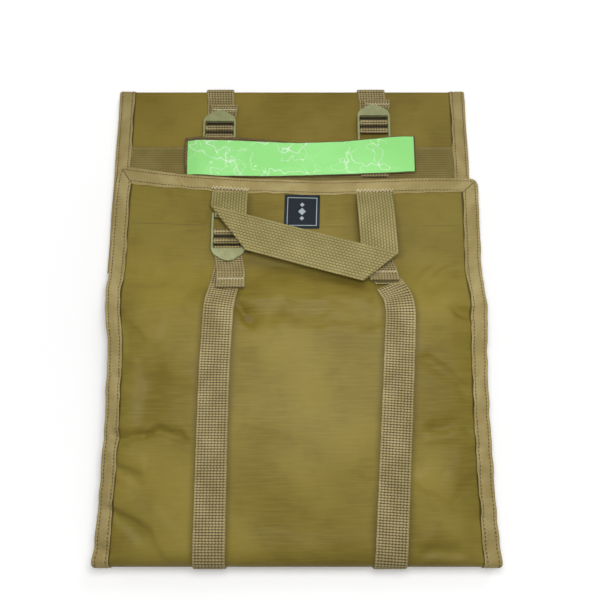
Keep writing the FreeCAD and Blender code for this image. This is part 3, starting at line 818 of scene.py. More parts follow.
def binding(name, surface, edge, rows):
    """Tape folded over an edge. edge(t, inset) gives x and s; t runs 0 to 1 over rows."""
    profile = BIND_PROFILE + [(e, -h) for e, h in BIND_PROFILE[-2::-1]]
    inset = np.array([p[0] for p in profile])[None, :]
    lift = np.array([p[1] for p in profile])[None, :]
    t = np.linspace(0, 1, rows)[:, None]
    x0, s0 = edge(t, 0.0 * inset)
    run = np.r_[0, np.cumsum(np.hypot(np.diff(x0[:, 0]), np.diff(s0[:, 0])))][:, None]
    waver = 0.55 * np.sin(run / 6.5 + np.sin(run / 17.0)) + 0.6 * np.sin(run / 21.0 + 1.0)
    x, s = edge(t, inset + waver * (inset > 10) + 0.25 * np.sin(run / 14.0 + 2.0) * (inset < 2))
    gather = 0.26 * np.sin(run / 2.3 + 0.9 * np.sin(run / 13.0) - inset / 4.0) * np.clip(inset / 8.0, 0.3, 1)
    points = surface.place(x, s, lift + gather * np.sign(lift))
    uv = np.stack(np.broadcast_arrays(run, inset * np.where(lift < 0, -1, 1)), -1)
    return closed_tube(name, points, uv, TAPE)


# A stitch: how far along it each ring lies, and the ring's radius.
CAPSULE = [(-0.5, 0.35), (-0.4, 0.85), (-0.12, 1.0), (0.12, 1.0), (0.4, 0.85), (0.5, 0.35)]


def thread(name, place, segments, lift, thick, material):
    """Stitches. Each segment is a0, b0, a1, b1 in the coordinates of place(a, b, lift)."""
    seg = np.array(segments, float)
    start, end = place(seg[:, 0], seg[:, 1], lift), place(seg[:, 2], seg[:, 3], lift)
    middle = place((seg[:, 0] + seg[:, 2]) / 2, (seg[:, 1] + seg[:, 3]) / 2, lift)
    above = place((seg[:, 0] + seg[:, 2]) / 2, (seg[:, 1] + seg[:, 3]) / 2, lift + 0.5) - middle
    along = end - start
    up = above / np.linalg.norm(above, axis=1)[:, None]
    side = np.cross(along, up)
    side /= np.linalg.norm(side, axis=1)[:, None]
    sides = 6
    turn = np.linspace(0, 2 * math.pi, sides, endpoint=False)
    rings = []
    for t, r in CAPSULE:
        for a in turn:
            rings.append(middle + along * t + side * (math.cos(a) * r * thick / 2)
                         + up * (math.sin(a) * r * thick * 0.4))
    verts = np.stack(rings, 1)
    count, per = len(seg), len(rings)
    here = np.arange(len(CAPSULE) - 1)[:, None] * sides + np.arange(sides)
    after = np.arange(len(CAPSULE) - 1)[:, None] * sides + (np.arange(sides) + 1) % sides
    quads = np.stack([here, after, after + sides, here + sides], -1).reshape(-1, 4)
    faces = (quads[None] + (np.arange(count) * per)[:, None, None]).reshape(-1, 4).tolist()
    for k in range(count):
        faces.append(list(range(k * per, k * per + sides))[::-1])
        faces.append(list(range((k + 1) * per - sides, (k + 1) * per)))
    uv = np.repeat(seg[:, None, :2], per, 1)
    return add_mesh(name, verts, faces, uv, material, 80)


def seam(points, pitch, length):
    """Straight stitches along a run of (a, b) points."""
    points = np.array(points, float)
    run = np.r_[0, np.cumsum(np.hypot(*np.diff(points, axis=0).T))]
    starts = np.arange(pitch / 2, run[-1] - length, pitch)
    at = lambda where: np.stack([np.interp(where, run, points[:, k]) for k in (0, 1)], 1)
    return np.concatenate([at(starts), at(starts + length)], 1).tolist()


def zigzag(a0, a1, b, height, pitch):
    """A bar tack: one thread going up and down between two lines."""
    count = max(2, int(abs(a1 - a0) / pitch))
    a = np.linspace(a0, a1, count + 1)
    b = b + height / 2 * np.where(np.arange(count + 1) % 2, 1.0, -1.0)
    return np.stack([a[:-1], b[:-1], a[1:], b[1:]], 1).tolist()


def weave_relief(u, v, weave):
    """Raised dashes, 0 to 1, in rows or columns that step by half a dash."""
    column, row, row_step, column_step, fall_u, fall_v = weave
    a, b = u / column, v / row
    a, b = a + row_step * np.mod(np.floor(b), 2.0), b + column_step * np.mod(np.floor(a), 2.0)
    raised = 1.0 - fall_u * (2 * np.mod(a, 1.0) - 1) ** 2 - fall_v * (2 * np.mod(b, 1.0) - 1) ** 2
    return np.maximum(raised, 0.0)


def webbing(name, place, width, v0, v1, material, weave=NARROW_WEAVE, relief=0.3, cell=0.78, thick=STRAP):
    """Flat webbing. place(u, v, lift) puts a point of it; lift is measured from its middle."""
    u, v = np.meshgrid(np.linspace(-width / 2, width / 2, int(width / cell) + 1),
                       np.linspace(v0, v1, int(abs(v1 - v0) / cell) + 2))
    rim = np.clip((width / 2 - np.abs(u)) / 1.1, 0, 1)
    body = (thick / 2 - relief) * np.sqrt(1 - (1 - rim) ** 2) + 0.12
    columns = round(width / weave[0])
    along_u = (u + width / 2) * columns * weave[0] / width
    raised = body + relief * weave_relief(along_u, v, weave) * rim
    uv = np.stack([along_u, v], -1)
    return closed_sheet(name, place(u, v, raised), place(u, v, -raised), uv, material)


def on_sheet(surface, centre, height):
    """Placing function for webbing that lies on a sheet along x = centre(y)."""
    line = surface.line
    middle = centre(line.yz[:, 0])
    slope = np.gradient(middle, line.s)

    def place(u, v, lift):
        tilt = np.arctan(np.interp(v, line.s, slope))
        x = np.interp(v, line.s, middle) + u * np.cos(tilt)
        return surface.place(x, v - u * np.sin(tilt), height + lift)
    return place


def on_line(line, x, drift=0.0, over=(0.0, 1.0)):
    """Placing function for webbing along its own line, at x, drifting sideways between two lengths."""
    def place(u, v, lift):
        shift = drift * between(v, *over)
        return line.point(x + shift + u, v, lift)
    return place


# ---- sheets and their bindings ----

def make_sheets():
    s_flap = steps_with_fold(flap_line, FLAP_START, FLAP_END - 1.5, 2.6, 1.2)
    piece = cloth("front_sheet", flap, s_flap, 2.5, NYLON)
    # Painted shade on the flap, kept to its outer face.
    shade = flap_shade(coordinates(piece) / MM)
    shade[len(shade) // 2:] = 0.0                    # the second half of the vertices is the underside
    set_shade(piece, shade)
    with_flap(piece, "front_flap")
    s_back = steps_with_fold(back_line, 0, back_line.length, 5.0, 0.9)
    piece = cloth("back_sheet", back, s_back, 5.0, NYLON)
    with_back(piece, "back_panel", "bottom_gusset")
    s_top = steps_with_fold(top_line, 0, top_line.length - 1.5, 3.4, 0.7)
    piece = cloth("top_sheet", top, s_top, 3.4, TOP_NYLON)
    with_top(piece, "top_fold", "top_flap")


# How dark the painted shade on the flap is beside the straps, by the handle and at the bottom end.
STRAP_SHADE, HANDLE_SHADE, END_SHADE = 0.42, 0.34, 0.24
# Runs of x0, y0, x1, y1 where the handle's webbing lies close to the flap, along which a painted shadow falls
# on it.
HANDLE_RESTS = [(-57, 60, 86, 24), (139, 66, 131, 148), (-59, 70, -60, 148), (86, 58, 83, 148)]


def flap_shade(co):
    """Painted shade: darker beside the straps, round the bottom end, under the handle and on the upper part.
    """
    x, y = co[:, 0], co[:, 1]
    total = between(y, 40, 90) * (0.08 + 0.09 * between(x, 40, 200))
    total = total + END_SHADE * (1 - between(y, -312, -286))
    for centre in (LEFT_STRAP, RIGHT_STRAP):
        out = np.abs(x - centre(y)) - STRAP_WIDTH / 2
        edge = np.exp(-(np.maximum(out, 0) / 4.5) ** 2) * (1 - between(y, 10, 34))
        total = np.maximum(total, STRAP_SHADE * edge)
    for x0, y0, x1, y1 in HANDLE_RESTS:
        run_x, run_y = x1 - x0, y1 - y0
        along = np.clip(((x - x0) * run_x + (y - y0) * run_y) / (run_x ** 2 + run_y ** 2), 0, 1)
        away = np.hypot(x - x0 - along * run_x, y - y0 - along * run_y)
        total = np.maximum(total, HANDLE_SHADE * np.exp(-(away / 6.0) ** 2))
    return total


def side_edge(side, s0, s1, mitre=False):
    def edge(t, inset):
        s = s0 + t * (s1 - s0 - (inset if mitre else 0.0))
        return side * (HALF_WIDTH - inset) + 0 * t, s + 0 * inset
    return edge


def end_edge_of(length):
    def edge(t, inset):
        half = HALF_WIDTH - inset
        return -half + 2 * half * t, length - inset + 0 * t
    return edge


def edge_row(name, surface, edge, inset, lift=1.75):
    """A row of stitches a fixed distance in from an edge."""
    x, s = edge(np.linspace(0, 1, 400), inset)
    return thread(name, surface.place, seam(np.stack([x, s], 1), 4.4, 2.7), lift, 1.15, BROWN)


def make_bindings():
    for side, label in ((-1, "left"), (1, "right")):
        runs = [
            ("front_binding_", flap, side_edge(side, FLAP_START, FLAP_END, True), 420, with_flap,
             ("front_binding_" + label,)),
            ("back_binding_", back, side_edge(side, 0.0, back_line.length), 320, with_back,
             ("back_binding_" + label, "gusset_binding_" + label)),
            ("top_binding_", top, side_edge(side, 0.0, top_line.length, True), 300, with_top,
             ("top_binding_" + label,))]
        for stem, surface, edge, rows, body, nodes in runs:
            body(binding(stem + label, surface, edge, rows), *nodes, slot="binding_tape")
            for row, inset in (("outer_stitch_", OUTER_ROW), ("inner_stitch_", INNER_ROW)):
                body(edge_row(stem + row + label, surface, edge, inset), slot="binding_tape")
    front_end, top_end = end_edge_of(FLAP_END), end_edge_of(top_line.length)
    for name, surface, edge, rows, body, lift in (
            ("front_binding_end", flap, front_end, 380, "front_flap", 1.75),
            ("top_binding_end", top, top_end, 260, "top_flap", 1.25)):
        ride(binding(name, surface, edge, rows), body, "binding_tape", name)
        for inset, label in ((OUTER_ROW, "outer"), (INNER_ROW, "inner")):
            ride(edge_row(body + "_end_stitch_" + label, surface, edge, inset, lift), body, "binding_tape")


def make_mitres():
    """The folded corners of the binding where the sides meet the flap's end."""
    for side, label in ((-1, "left"), (1, "right")):
        outer, inner = 0.4, BIND - 0.4
        run = np.linspace(outer, inner, 9)
        points = np.stack([side * (HALF_WIDTH - run), FLAP_END - run + 0.5 * np.sin(run)], 1)
        fold = np.concatenate([points[:-1], points[1:]], 1).tolist()
        ride(thread("front_mitre_" + label, flap.place, fold, 2.1, 1.0, BROWN), "front_flap", "binding_tape")


def make_hem():
    """The facing under the end of the flap, and the row of stitches that holds it."""
    x, s = np.meshgrid(np.linspace(-219, 219, 120), np.linspace(HEM_S, FLAP_END - 12, 26))
    uv = np.stack([x, s], -1)
    piece = closed_sheet("front_facing", flap.place(x, s, -0.85), flap.place(x, s, -1.2), uv, FACING)
    ride(piece, "front_flap", "sheet_nylon", "front_facing")
    segments = seam([(x, HEM_S + 3.5) for x in np.linspace(-218, 218, 60)], 4.0, 2.9)
    ride(thread("front_hem_stitch", flap.place, segments, SHEET / 2 + 0.1, 0.8, HEM_THREAD), "front_flap",
         "sheet_nylon")


# ---- straps, locks and tails ----

def lock_centre(node):
    """x, y of the anchor bar, z of the bars, and the tab's direction along Y."""
    low, high = box_mm(node)
    toward = -1 if node.startswith("front") else 1
    bar = high[1] - 3.0 if toward < 0 else low[1] + 3.0
    return (low[0] + high[0]) / 2, bar, low[2] + 2.5, toward


def lock_route(bar_y, bar_z, toward):
    """The strap from under the tab, round the first rung, over both, and down behind the tab's edge."""
    r = ROUND_RUNG
    route = [(50.0, -5.9), (40.0, -5.6), (30.0, -4.4)]
    route += [(RUNG_1 - r * math.sin(a), -r * math.cos(a)) for a in np.radians(np.linspace(0, 180, 13))]
    route += [(RUNG_1 + 3.0, 1.2), (RUNG_1 + 4.6, -1.6), (RUNG_2 - 4.6, -1.6), (RUNG_2 - 3.0, 1.2)]
    route += [(RUNG_2 + r * math.sin(a), r * math.cos(a)) for a in np.radians(np.linspace(0, 90, 8))]
    route += [(RUNG_2 + 3.4, -2.0), (RUNG_2 + 5.4, -3.5), (TAB_EDGE + 3, -3.8)]
    return [(bar_y + toward * d, bar_z + h) for d, h in route]


def shade_in_lock(piece, bar_y, bar_z, toward):
    """Paints shade on webbing as it drops between a lock's bars."""
    co = coordinates(piece) / MM
    along = toward * (co[:, 1] - bar_y)
    window = between(along, 1.0, 4.0) * (1 - between(along, TAB_EDGE, TAB_EDGE + 3))
    depth = bar_z + RUNG_R + STRAP - co[:, 2]
    set_shade(piece, 0.92 * window * between(depth, 0.4, 4.2))


def stroked_line(points, outside, soften=0.9):
    return Line(points, outside, soften=soften, step=0.3)


def make_front_strap(label, centre):
    """From the gusset up the flap to its lock and round the rungs, then the free tail."""
    x, bar_y, bar_z, toward = lock_centre("front_lock_" + label)
    seat = on_sheet(flap, centre, STRAP_LIFT)
    join = flap_line.s_at_y(24.0)
    strap = webbing("front_strap_" + label, seat, STRAP_WIDTH, FLAP_START, join, WEBBING)
    with_flap(strap, "front_strap_" + label, slot="strap_webbing")
    climb = [tuple(seat(0.0, s, 0.0)[1:]) for s in np.linspace(join, flap_line.s_at_y(66.0), 24)]
    line = stroked_line(climb + lock_route(bar_y, bar_z, toward), 1)
    start_x = float(centre(24.0))

    def place(u, v, lift):
        shift = (start_x - x) * (1 - between(v, 0, 30))
        return line.point(x + shift + u, v, lift)
    end = webbing("front_strap_end_" + label, place, IN_LOCK_WIDTH, 0, line.length, WEBBING)
    shade_in_lock(end, bar_y, bar_z, toward)
    lock = "front_lock_" + label
    bend(end, "front_flap", lock, (0, 26, 0), (0, 76, 0), "strap_webbing", "front_bite_" + label)
    make_front_tail(label, x)


def make_front_tail(label, x):
    tip = box_mm("front_tail_" + label)[0][1] - 0.3
    lengths = np.linspace(flap_line.s_at_y(78.0), flap_line.s_at_y(tip), 40)
    line = stroked_line([tuple(flap.place(x, s, TAIL_LIFT + 1.1)[1:]) for s in lengths], -1, 1.5)
    make_tail("front", label, x, line, (6, 44), ((0, 80, 0), (0, 63, 0)), 24, (12.5, 2.6, 1.0))


def make_rear_tail(label, x, bar_y, bar_z):
    tip = box_mm("rear_tail_" + label)[1][1] - 1.0
    path = [(bar_y + 44, bar_z - 3.9), (bar_y + 58, bar_z - 3.6), (tip, bar_z - 3.7)]
    band = ((0, bar_y + 44, 0), (0, bar_y + 60, 0))
    make_tail("rear", label, x, stroked_line(path, 1, 2.0), (0, 20), band, 13, (7.0, 2.4, 0.9))


def make_tail(end, label, x, line, drifting, band, turned, tack):
    """A strap's free end, turned over and bar-tacked. band runs from where the lock holds it to where it
    slides, turned is the length turned back, and tack the bar tack's distance from the tip, height and
    thickness."""
    node = end + "_tail_" + label
    low, high = box_mm(node)
    place = on_line(line, x, (low[0] + high[0]) / 2 - x, drifting)
    length = line.length

    def hold(piece, *nodes):
        bend(piece, end + "_lock_" + label, node, *band, "strap_webbing", *nodes)

    hold(webbing(node, place, STRAP_WIDTH - 1, 0, length, WEBBING), node)
    hold(webbing(end + "_tail_turn_" + label, lambda u, v, lift: place(u, v, lift + STRAP + 0.15),
                 STRAP_WIDTH - 1.4, length - turned, length + 0.2, WEBBING))
    from_tip, height, thick = tack
    half = STRAP_WIDTH / 2 - 2.5
    rows = zigzag(-half, half, length - from_tip, height, 1.9)
    hold(thread(end + "_tail_tack_" + label, place, rows, 1.5 * STRAP + 0.35, thick, CREAM))
    hold(roll_over(end + "_tail_roll_" + label, place, length))


def roll_over(name, place, length):
    """The rounded edge where the tail's end is turned back on itself."""
    width = STRAP_WIDTH - 1.2
    u = np.linspace(-width / 2, width / 2, 48)[:, None]
    a = np.linspace(0, 2 * math.pi, 14, endpoint=False)[None, :]
    ripple = 1 + 0.06 * np.sin(u * 2 * math.pi / NARROW_WEAVE[0])
    points = place(u, length + 1.5 * np.cos(a) * ripple, STRAP / 2 + (STRAP / 2 + 0.45) * np.sin(a) * ripple)
    uv = np.stack(np.broadcast_arrays(u + width / 2, a * 1.5), -1)
    return closed_tube(name, points, uv, WEBBING)


def make_anchor(end, label, body, sewn_y, low_z):
    """A doubled loop of webbing round a lock's anchor bar, sewn down at its other end."""
    name = end + "_anchor_" + label
    x, bar_y, bar_z, toward = lock_centre(end + "_lock_" + label)
    away = -toward
    high_z = low_z + STRAP + LAY
    ring = [(bar_y - away * ROUND_RUNG * math.sin(a), bar_z - ROUND_RUNG * math.cos(a))
            for a in np.radians(np.linspace(0, 180, 13))]
    points = [(sewn_y, low_z), (bar_y + away * 11, low_z)] + ring
    points += [(bar_y + away * 15, high_z), (sewn_y, high_z)]
    line = stroked_line(points, -away)
    place = on_line(line, x)
    piece = webbing(name, place, IN_LOCK_WIDTH, 0, line.length, WEBBING)
    shade_in_lock(piece, bar_y, bar_z, toward)
    ride(piece, body, "strap_webbing", name)
    rows = zigzag(-16, 16, line.length - 4.5, 3.0, 2.0) + zigzag(-16, 16, line.length - 13, 2.4, 2.0)
    ride(thread(name + "_tack", place, rows, away * 1.15 * STRAP / 2, 0.9, CREAM), body, "strap_webbing")


def make_rear_strap(label, centre):
    """Under the back panel, round the top fold, and down to its lock."""
    x, bar_y, bar_z, toward = lock_centre("rear_lock_" + label)
    low, high = box_mm("back_strap_" + label)
    back_x = (low[0] + high[0]) / 2
    gusset_x = float(centre(GUSSET_Y))
    centre_back = soft_curve([(-330, gusset_x), (-306, gusset_x), (-240, back_x), (300, back_x)], 12)
    seat = on_sheet(back, centre_back, STRAP_LIFT)
    strap = webbing("back_strap_" + label, seat, STRAP_WIDTH, 0.0, back_line.length, WEBBING, cell=1.1)
    with_back(strap, "back_strap_" + label, "gusset_strap_" + label, slot="strap_webbing")

    def seat_top(u, v, lift):
        past = v - TOP_FLAT_S
        at = back_x + (x - back_x) * between(v, 20, TOP_FLAT_S + 20)
        loop = 1.6 * between(past, -9.4, -6) * (1 - between(past, -4, -0.5))
        return top.place(at + u, v, STRAP_LIFT + lift + loop)
    join = TOP_FLAT_S + (FOLD_Y - 294.0)
    strap = webbing("top_strap_" + label, seat_top, STRAP_WIDTH, 0.0, join, WEBBING)
    bend(strap, "back_panel", "top_flap", *TOP_STRAP_BEND, "strap_webbing", "top_strap_" + label)
    last = seat_top(0.0, join, 0.0)
    climb = [(last[1], last[2]), (bar_y + 56, last[2] - 0.1)]
    line = stroked_line(climb + lock_route(bar_y, bar_z, toward), -1)
    end = webbing("rear_strap_end_" + label, on_line(line, x), IN_LOCK_WIDTH, 0, line.length, WEBBING)
    shade_in_lock(end, bar_y, bar_z, toward)
    lock = "rear_lock_" + label
    bend(end, "top_flap", lock, (0, 293, 0), (0, bar_y + 42, 0), "strap_webbing", "rear_bite_" + label)
    make_rear_tail(label, x, bar_y, bar_z)


def dress_locks():
    for place in ("front", "rear"):
        for label in ("left", "right"):
            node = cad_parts[place + "_lock_" + label]
            node.data.materials.clear()
            node.data.materials.append(PLASTIC)
            node.data.shade_smooth()
            node.data.set_sharp_from_angle(angle=math.radians(35))


# ---- handles ----

class Folded:
    """Webbing lying in a plane, turned over itself along crease lines. u runs across it and v along."""

    def __init__(self, start, heading, folds, height, gap):
        self.start, self.heading = np.array(start, float), np.array(heading, float)
        self.folds, self.height, self.gap = folds, height, gap

    def __call__(self, u, v, lift):
        u, v, lift = np.broadcast_arrays(np.asarray(u, float), v, lift)
        side = np.array([self.heading[1], -self.heading[0]])
        flat = self.start + v[..., None] * self.heading + u[..., None] * side
        layer = np.zeros(u.shape)
        facing = np.ones(u.shape)
        sideways = np.zeros(flat.shape)
        for (a, b), direction in self.folds:
            a, b = np.array(a, float), np.array(b, float)
            normal = np.array([b[1] - a[1], a[0] - b[0]]) / np.linalg.norm(b - a)
            flat, layer, facing, sideways = self.turn(flat, layer, facing, sideways, a, normal, direction)
        normal_xy = sideways * lift[..., None]
        xy = flat + normal_xy
        base = self.height(xy[..., 0], xy[..., 1])
        return np.concatenate([xy, (base + layer + facing * lift)[..., None]], -1)

    def turn(self, flat, layer, facing, sideways, a, normal, direction):
        radius = self.gap / 2
        beyond = (flat - a) @ normal
        turned = np.clip(beyond / radius + math.pi / 2, 0, math.pi)
        inside = np.minimum(beyond + radius * math.pi / 2, 0)
        past = np.maximum(beyond - radius * math.pi / 2, 0)
        held = -radius + radius * np.sin(turned) + inside - past
        moved = flat + (held - beyond)[..., None] * normal
        rise = direction * radius * (1 - np.cos(turned))
        outward = -direction * np.sin(turned) * facing
        return moved, layer + rise, facing * np.cos(turned), sideways + outward[..., None] * normal


LEFT_CREASE = ((-109.0, 132.0), (-57.0, 63.6))
RIGHT_CREASE = ((86.0, 27.0), (137.5, 67.6))
HANDLE_END_Y = 154.5         # both ends of its webbing, under the flap's end binding


# The height the handle lies at, up from its sewn root and over the straps, before the waver across the bed.
HANDLE_HEIGHT = ([-40, 20, 60, 100, 128, 140, 150, 160], [41.2, 40.6, 38.0, 34.4, 31.0, 26.5, 21.9, 20.7])
HANDLE_DROP = 0.5 + 0.9 * math.sin(60 / 45.0)


def make_handle():
    """One wide webbing, sewn at both ends and creased twice: down on the left, across, up on the right."""
    soft = soft_curve([(y, np.interp(y, *HANDLE_HEIGHT) - HANDLE_DROP) for y in range(-40, 170, 4)], 5)
    height = lambda x, y: soft(y) - 0.9 * np.sin((x + 60) / 45.0)
    folds = [(LEFT_CREASE, 1), (RIGHT_CREASE, -1)]
    place = Folded((-85.0, HANDLE_END_Y), (0.0, -1.0), folds, height, WIDE + 0.9)
    left, right = np.mean(LEFT_CREASE, axis=0), np.mean(RIGHT_CREASE, axis=0)
    length = (HANDLE_END_Y - left[1]) + float(np.hypot(*(right - left))) + (HANDLE_END_Y - right[1])
    piece = webbing("carry_handle", place, WIDE_WIDTH, 0, length, WIDE_WEBBING, WIDE_WEAVE, 0.4, thick=WIDE)
    bend(piece, "front_flap", "carry_handle", (0, 152.0, 0), (0, 139.0, 0), "wide_webbing", "carry_handle")


def make_handle_tacks():
    """Bar tacks through the binding where the carry handle is sewn in."""
    for label, x0, x1 in (("left", -110, -60), ("right", 83, 132)):
        s = FLAP_END - 15.5
        high, low = zigzag(x0, x1, s, 4.6, 2.3), zigzag(x0, x1, s - 3.0, 1.8, 2.9)
        for stem, rows, lift, thick, material in (("handle_tack_", high, 2.3, 0.95, CREAM),
                                                  ("handle_tack_low_", low, 2.2, 0.8, BROWN)):
            piece = thread(stem + label, flap.place, rows, lift, thick, material)
            ride(piece, "front_flap", "binding_tape")


def make_rear_handle():
    """The head end's handle, a flat U of the same webbing lying on the top flap."""
    low, high = box_mm("rear_handle")
    mid = (low[2] + high[2]) / 2
    reach = (high[0] - low[0]) / 2 - WIDE_WIDTH / 2
    cross = high[1] - WIDE_WIDTH / 2
    folds = [(((-reach + 25, cross + 25), (-reach - 25, cross - 25)), 1),
             (((reach + 25, cross - 25), (reach - 25, cross + 25)), -1)]
    place = Folded((-reach, low[1]), (0.0, 1.0), folds, lambda x, y: mid + 0.4 * np.sin(x / 38.0), WIDE + 0.6)
    length = 2 * (cross - low[1]) + 2 * reach
    piece = webbing("rear_handle", place, WIDE_WIDTH, 0, length, WIDE_WEBBING, WIDE_WEAVE, 0.4, 1.2, WIDE)
    ride(piece, "rear_handle", "wide_webbing", "rear_handle")


# ---- band, marker and label ----

def make_band():
    low, high = box_mm("cross_band")
    middle = (low[1] + high[1]) / 2
    width = high[1] - low[1]

    def place(u, v, lift):
        s = top_line.length - (middle + u - TOP_END_Y)
        return top.place(v, s, STRAP_LIFT + lift)
    piece = webbing("cross_band", place, width, low[0], high[0], BAND_WEBBING, BAND_WEAVE, 0.25, 1.0)
    ride(piece, "top_flap", "wide_webbing", "cross_band")
    half = width / 2
    rows = []
    for u in (-half + 2.5, half - 2.5):
        rows += seam([(u, v) for v in np.linspace(low[0] + 2, high[0] - 2, 50)], 3.6, 2.4)
    ride(thread("cross_band_stitch", place, rows, STRAP / 2 + 0.1, 0.75, PALE), "top_flap", "wide_webbing")


MARKER_LEFT, MARKER_RIGHT = -144.0, 161.0
MARKER_FOLDS = [(-120, 186, -96, 222, 2.2, 0.5), (-100, 196, -70, 182, 2.0, -0.5),
                (-84, 188, -74, 214, 2.4, 0.6), (-20, 226, 20, 206, 2.6, 0.6), (20, 206, 60, 222, 2.4, 0.6),
                (40, 192, 86, 196, 2.2, -0.5), (96, 188, 112, 220, 2.6, 0.6), (112, 214, 158, 200, 2.2, 0.5),
                (-60, 184, 10, 186, 2.4, 0.4), (-138, 206, -118, 224, 2.2, 0.5), (60, 182, 96, 190, 2.0, 0.4),
                (120, 186, 150, 184, 2.0, 0.4)]
# Name, slot, material, growth beyond the film, underside and top over marker_height, share of the folds.
MARKER_LAYERS = [("marker_backing", "hook_backing", HOOK, 4.0, 0.0, 1.0, 0.0),
                 ("marker_film", "marker_film", FILM, 0.0, 1.15, 1.55, 1.0)]
MARKER_BEND = ((-146, 0, 0), (-128, 0, 0))


def marker_height(x, y):
    """Lifted over the rear locks, sagging between them, lower where the flap overlaps it."""
    base = 22.0 + 0.9 * between(y, 180, 212)
    sag = -1.3 * np.exp(-((x - 8) / 70.0) ** 2) - 2.2 * (1 - between(y, 176, 196)) * (1 - between(x, -60, 60))
    end = -4.5 * (1 - between(x, -150, -126))
    ripple = 0.35 * np.sin(x / 21.0 + y / 16.0) + 0.25 * np.sin(x / 9.0 - y / 11.0)
    return base + sag + end + ripple + 1.2 * between(x, 110, 165)


def marker_edges(x):
    low = 177.0 + 5.0 * between(x, 40, 165) + 0.6 * np.sin(x / 33.0)
    high = 226.8 - 3.2 * np.exp(-((x + 5) / 62.0) ** 2)
    high = high + 5.6 * between(x, 60, 150) - 1.2 * between(x, -60, 40)
    flap_at = end_edge(x) + 1.2
    return np.maximum(low, np.where(x < 20, flap_at, low)), high


def make_marker():
    """A glossy film on a hook backing, held at its left end."""
    for name, slot, material, grow, z0, z1, crumple in MARKER_LAYERS:
        xs = np.linspace(MARKER_LEFT - grow, MARKER_RIGHT + grow / 2, 300)
        t = np.linspace(0, 1, 56)[:, None]
        low, high = marker_edges(xs)
        left_over = grow * (1 - between(xs, -80, 20))
        y = (low - 0.2 * grow) * (1 - t) + (high + 0.3 * grow + left_over) * t
        x = np.broadcast_to(xs, y.shape)
        base = marker_height(x, y) + crumple * creases(x, y, MARKER_FOLDS)
        over, under = (np.stack([x, y, base + z], -1) for z in (z1, z0))
        piece = closed_sheet(name, over, under, np.stack([x, y], -1), material)
        bend(piece, "top_flap", "marker", *MARKER_BEND, slot, name)
    make_marker_stitches()


def make_marker_stitches():
    surface = lambda x, y, up: np.stack(np.broadcast_arrays(x, y, marker_height(x, y) + up), -1)
    xs = np.linspace(-146, -20, 60)
    _, high = marker_edges(xs)
    left_over = 5.0 * (1 - between(xs, -80, 20))
    rows = seam(np.stack([xs, high + left_over - 1.2], 1), 3.4, 2.3)
    rows += [(b0, a0, b1, a1) for a0, b0, a1, b1 in zigzag(192, 226, -146.2, 2.0, 2.2)]
    piece = thread("marker_stitch", surface, rows, 1.2, 0.7, PALE)
    bend(piece, "top_flap", "marker", *MARKER_BEND, "hook_backing")


def make_label():
    low, high = box_mm("label")
    cx, size = (low[0] + high[0]) / 2, (high[0] - low[0]) / 2 - 0.5
    middle = flap_line.s_at_y((low[1] + high[1]) / 2)
    x, s = np.meshgrid(np.linspace(-size, size, 40), np.linspace(-size, size, 40))
    edge = np.maximum(np.abs(x), np.abs(s)) / size
    bow = 0.35 * (1 - edge ** 4) + 0.15 * np.sin(x / 7.0) * (1 - edge ** 2)
    skew = x + 0.03 * (s + size)
    top_side = flap.place(cx + skew, middle + s, SHEET / 2 + 1.0 + bow)
    under = flap.place(cx + skew, middle + s, SHEET / 2 + 0.25)
    piece = closed_sheet("label", top_side, under, np.stack([x, s], -1), LABEL)
    ride(piece, "front_flap", "label_weave", "label")
    inset = size - 1.4
    corners = [(-inset, -inset), (inset, -inset), (inset, inset), (-inset, inset), (-inset, -inset)]
    place = lambda a, b, up: flap.place(cx + a + 0.03 * (b + size), middle + b, up)
    stitches = thread("label_stitch", place, seam(corners, 2.8, 1.9), SHEET / 2 + 1.15, 0.5, DARK)
    ride(stitches, "front_flap", "label_weave")


# ---- the padded section between the layers ----

def make_pad():
    """Foam in a nylon cover, swollen by simulation and quilted across in channels."""
    low, high = box_mm("torso_pad")
    inset, swelling = 3.0, 8.0               # room left for the cloth solver, at the sides and in height
    size = high - low - np.array([2 * inset, 2 * inset, swelling])
    centre = (low + high) / 2
    mesh = bpy.data.meshes.new("torso_pad")
    work = bmesh.new()
    bmesh.ops.create_cube(work, size=1.0)
    bmesh.ops.scale(work, vec=Vector(size * MM), verts=work.verts)
    bmesh.ops.translate(work, vec=Vector(centre * MM), verts=work.verts)
    upright = [e for e in work.edges if abs(e.verts[0].co.z - e.verts[1].co.z) > 1e-4]
    bmesh.ops.bevel(work, geom=upright, offset=0.024, segments=6, affect="EDGES", profile=0.5)
    rims = [e for e in work.edges if abs(e.verts[0].co.z - e.verts[1].co.z) < 1e-6 and len(e.link_faces) == 2
            and abs(e.link_faces[0].normal.z - e.link_faces[1].normal.z) > 0.5]
    bmesh.ops.bevel(work, geom=rims, offset=0.006, segments=3, affect="EDGES", profile=0.5)
    work.to_mesh(mesh)
    work.free()
    pad = put("torso_pad_cover", mesh)
    bpy.context.view_layer.objects.active = pad
    add_modifier(pad, "REMESH", mode="VOXEL", voxel_size=0.006)
    apply_modifiers(pad)
    swell(pad, 0.007)
    channels(pad, low, high)
    pad.data.shade_smooth()
    pad.data.materials.append(PAD)
    ride(pad, "back_panel", "pad_cover", "torso_pad")


def add_modifier(piece, kind, **settings):
    modifier = piece.modifiers.new(kind.lower(), kind)
    for key, value in settings.items():
        setattr(modifier, key, value)
    return modifier


def apply_modifiers(piece):
    bpy.context.view_layer.update()
    evaluated = piece.evaluated_get(bpy.context.evaluated_depsgraph_get())
    mesh = bpy.data.meshes.new_from_object(evaluated)
    piece.modifiers.clear()
    piece.data = mesh


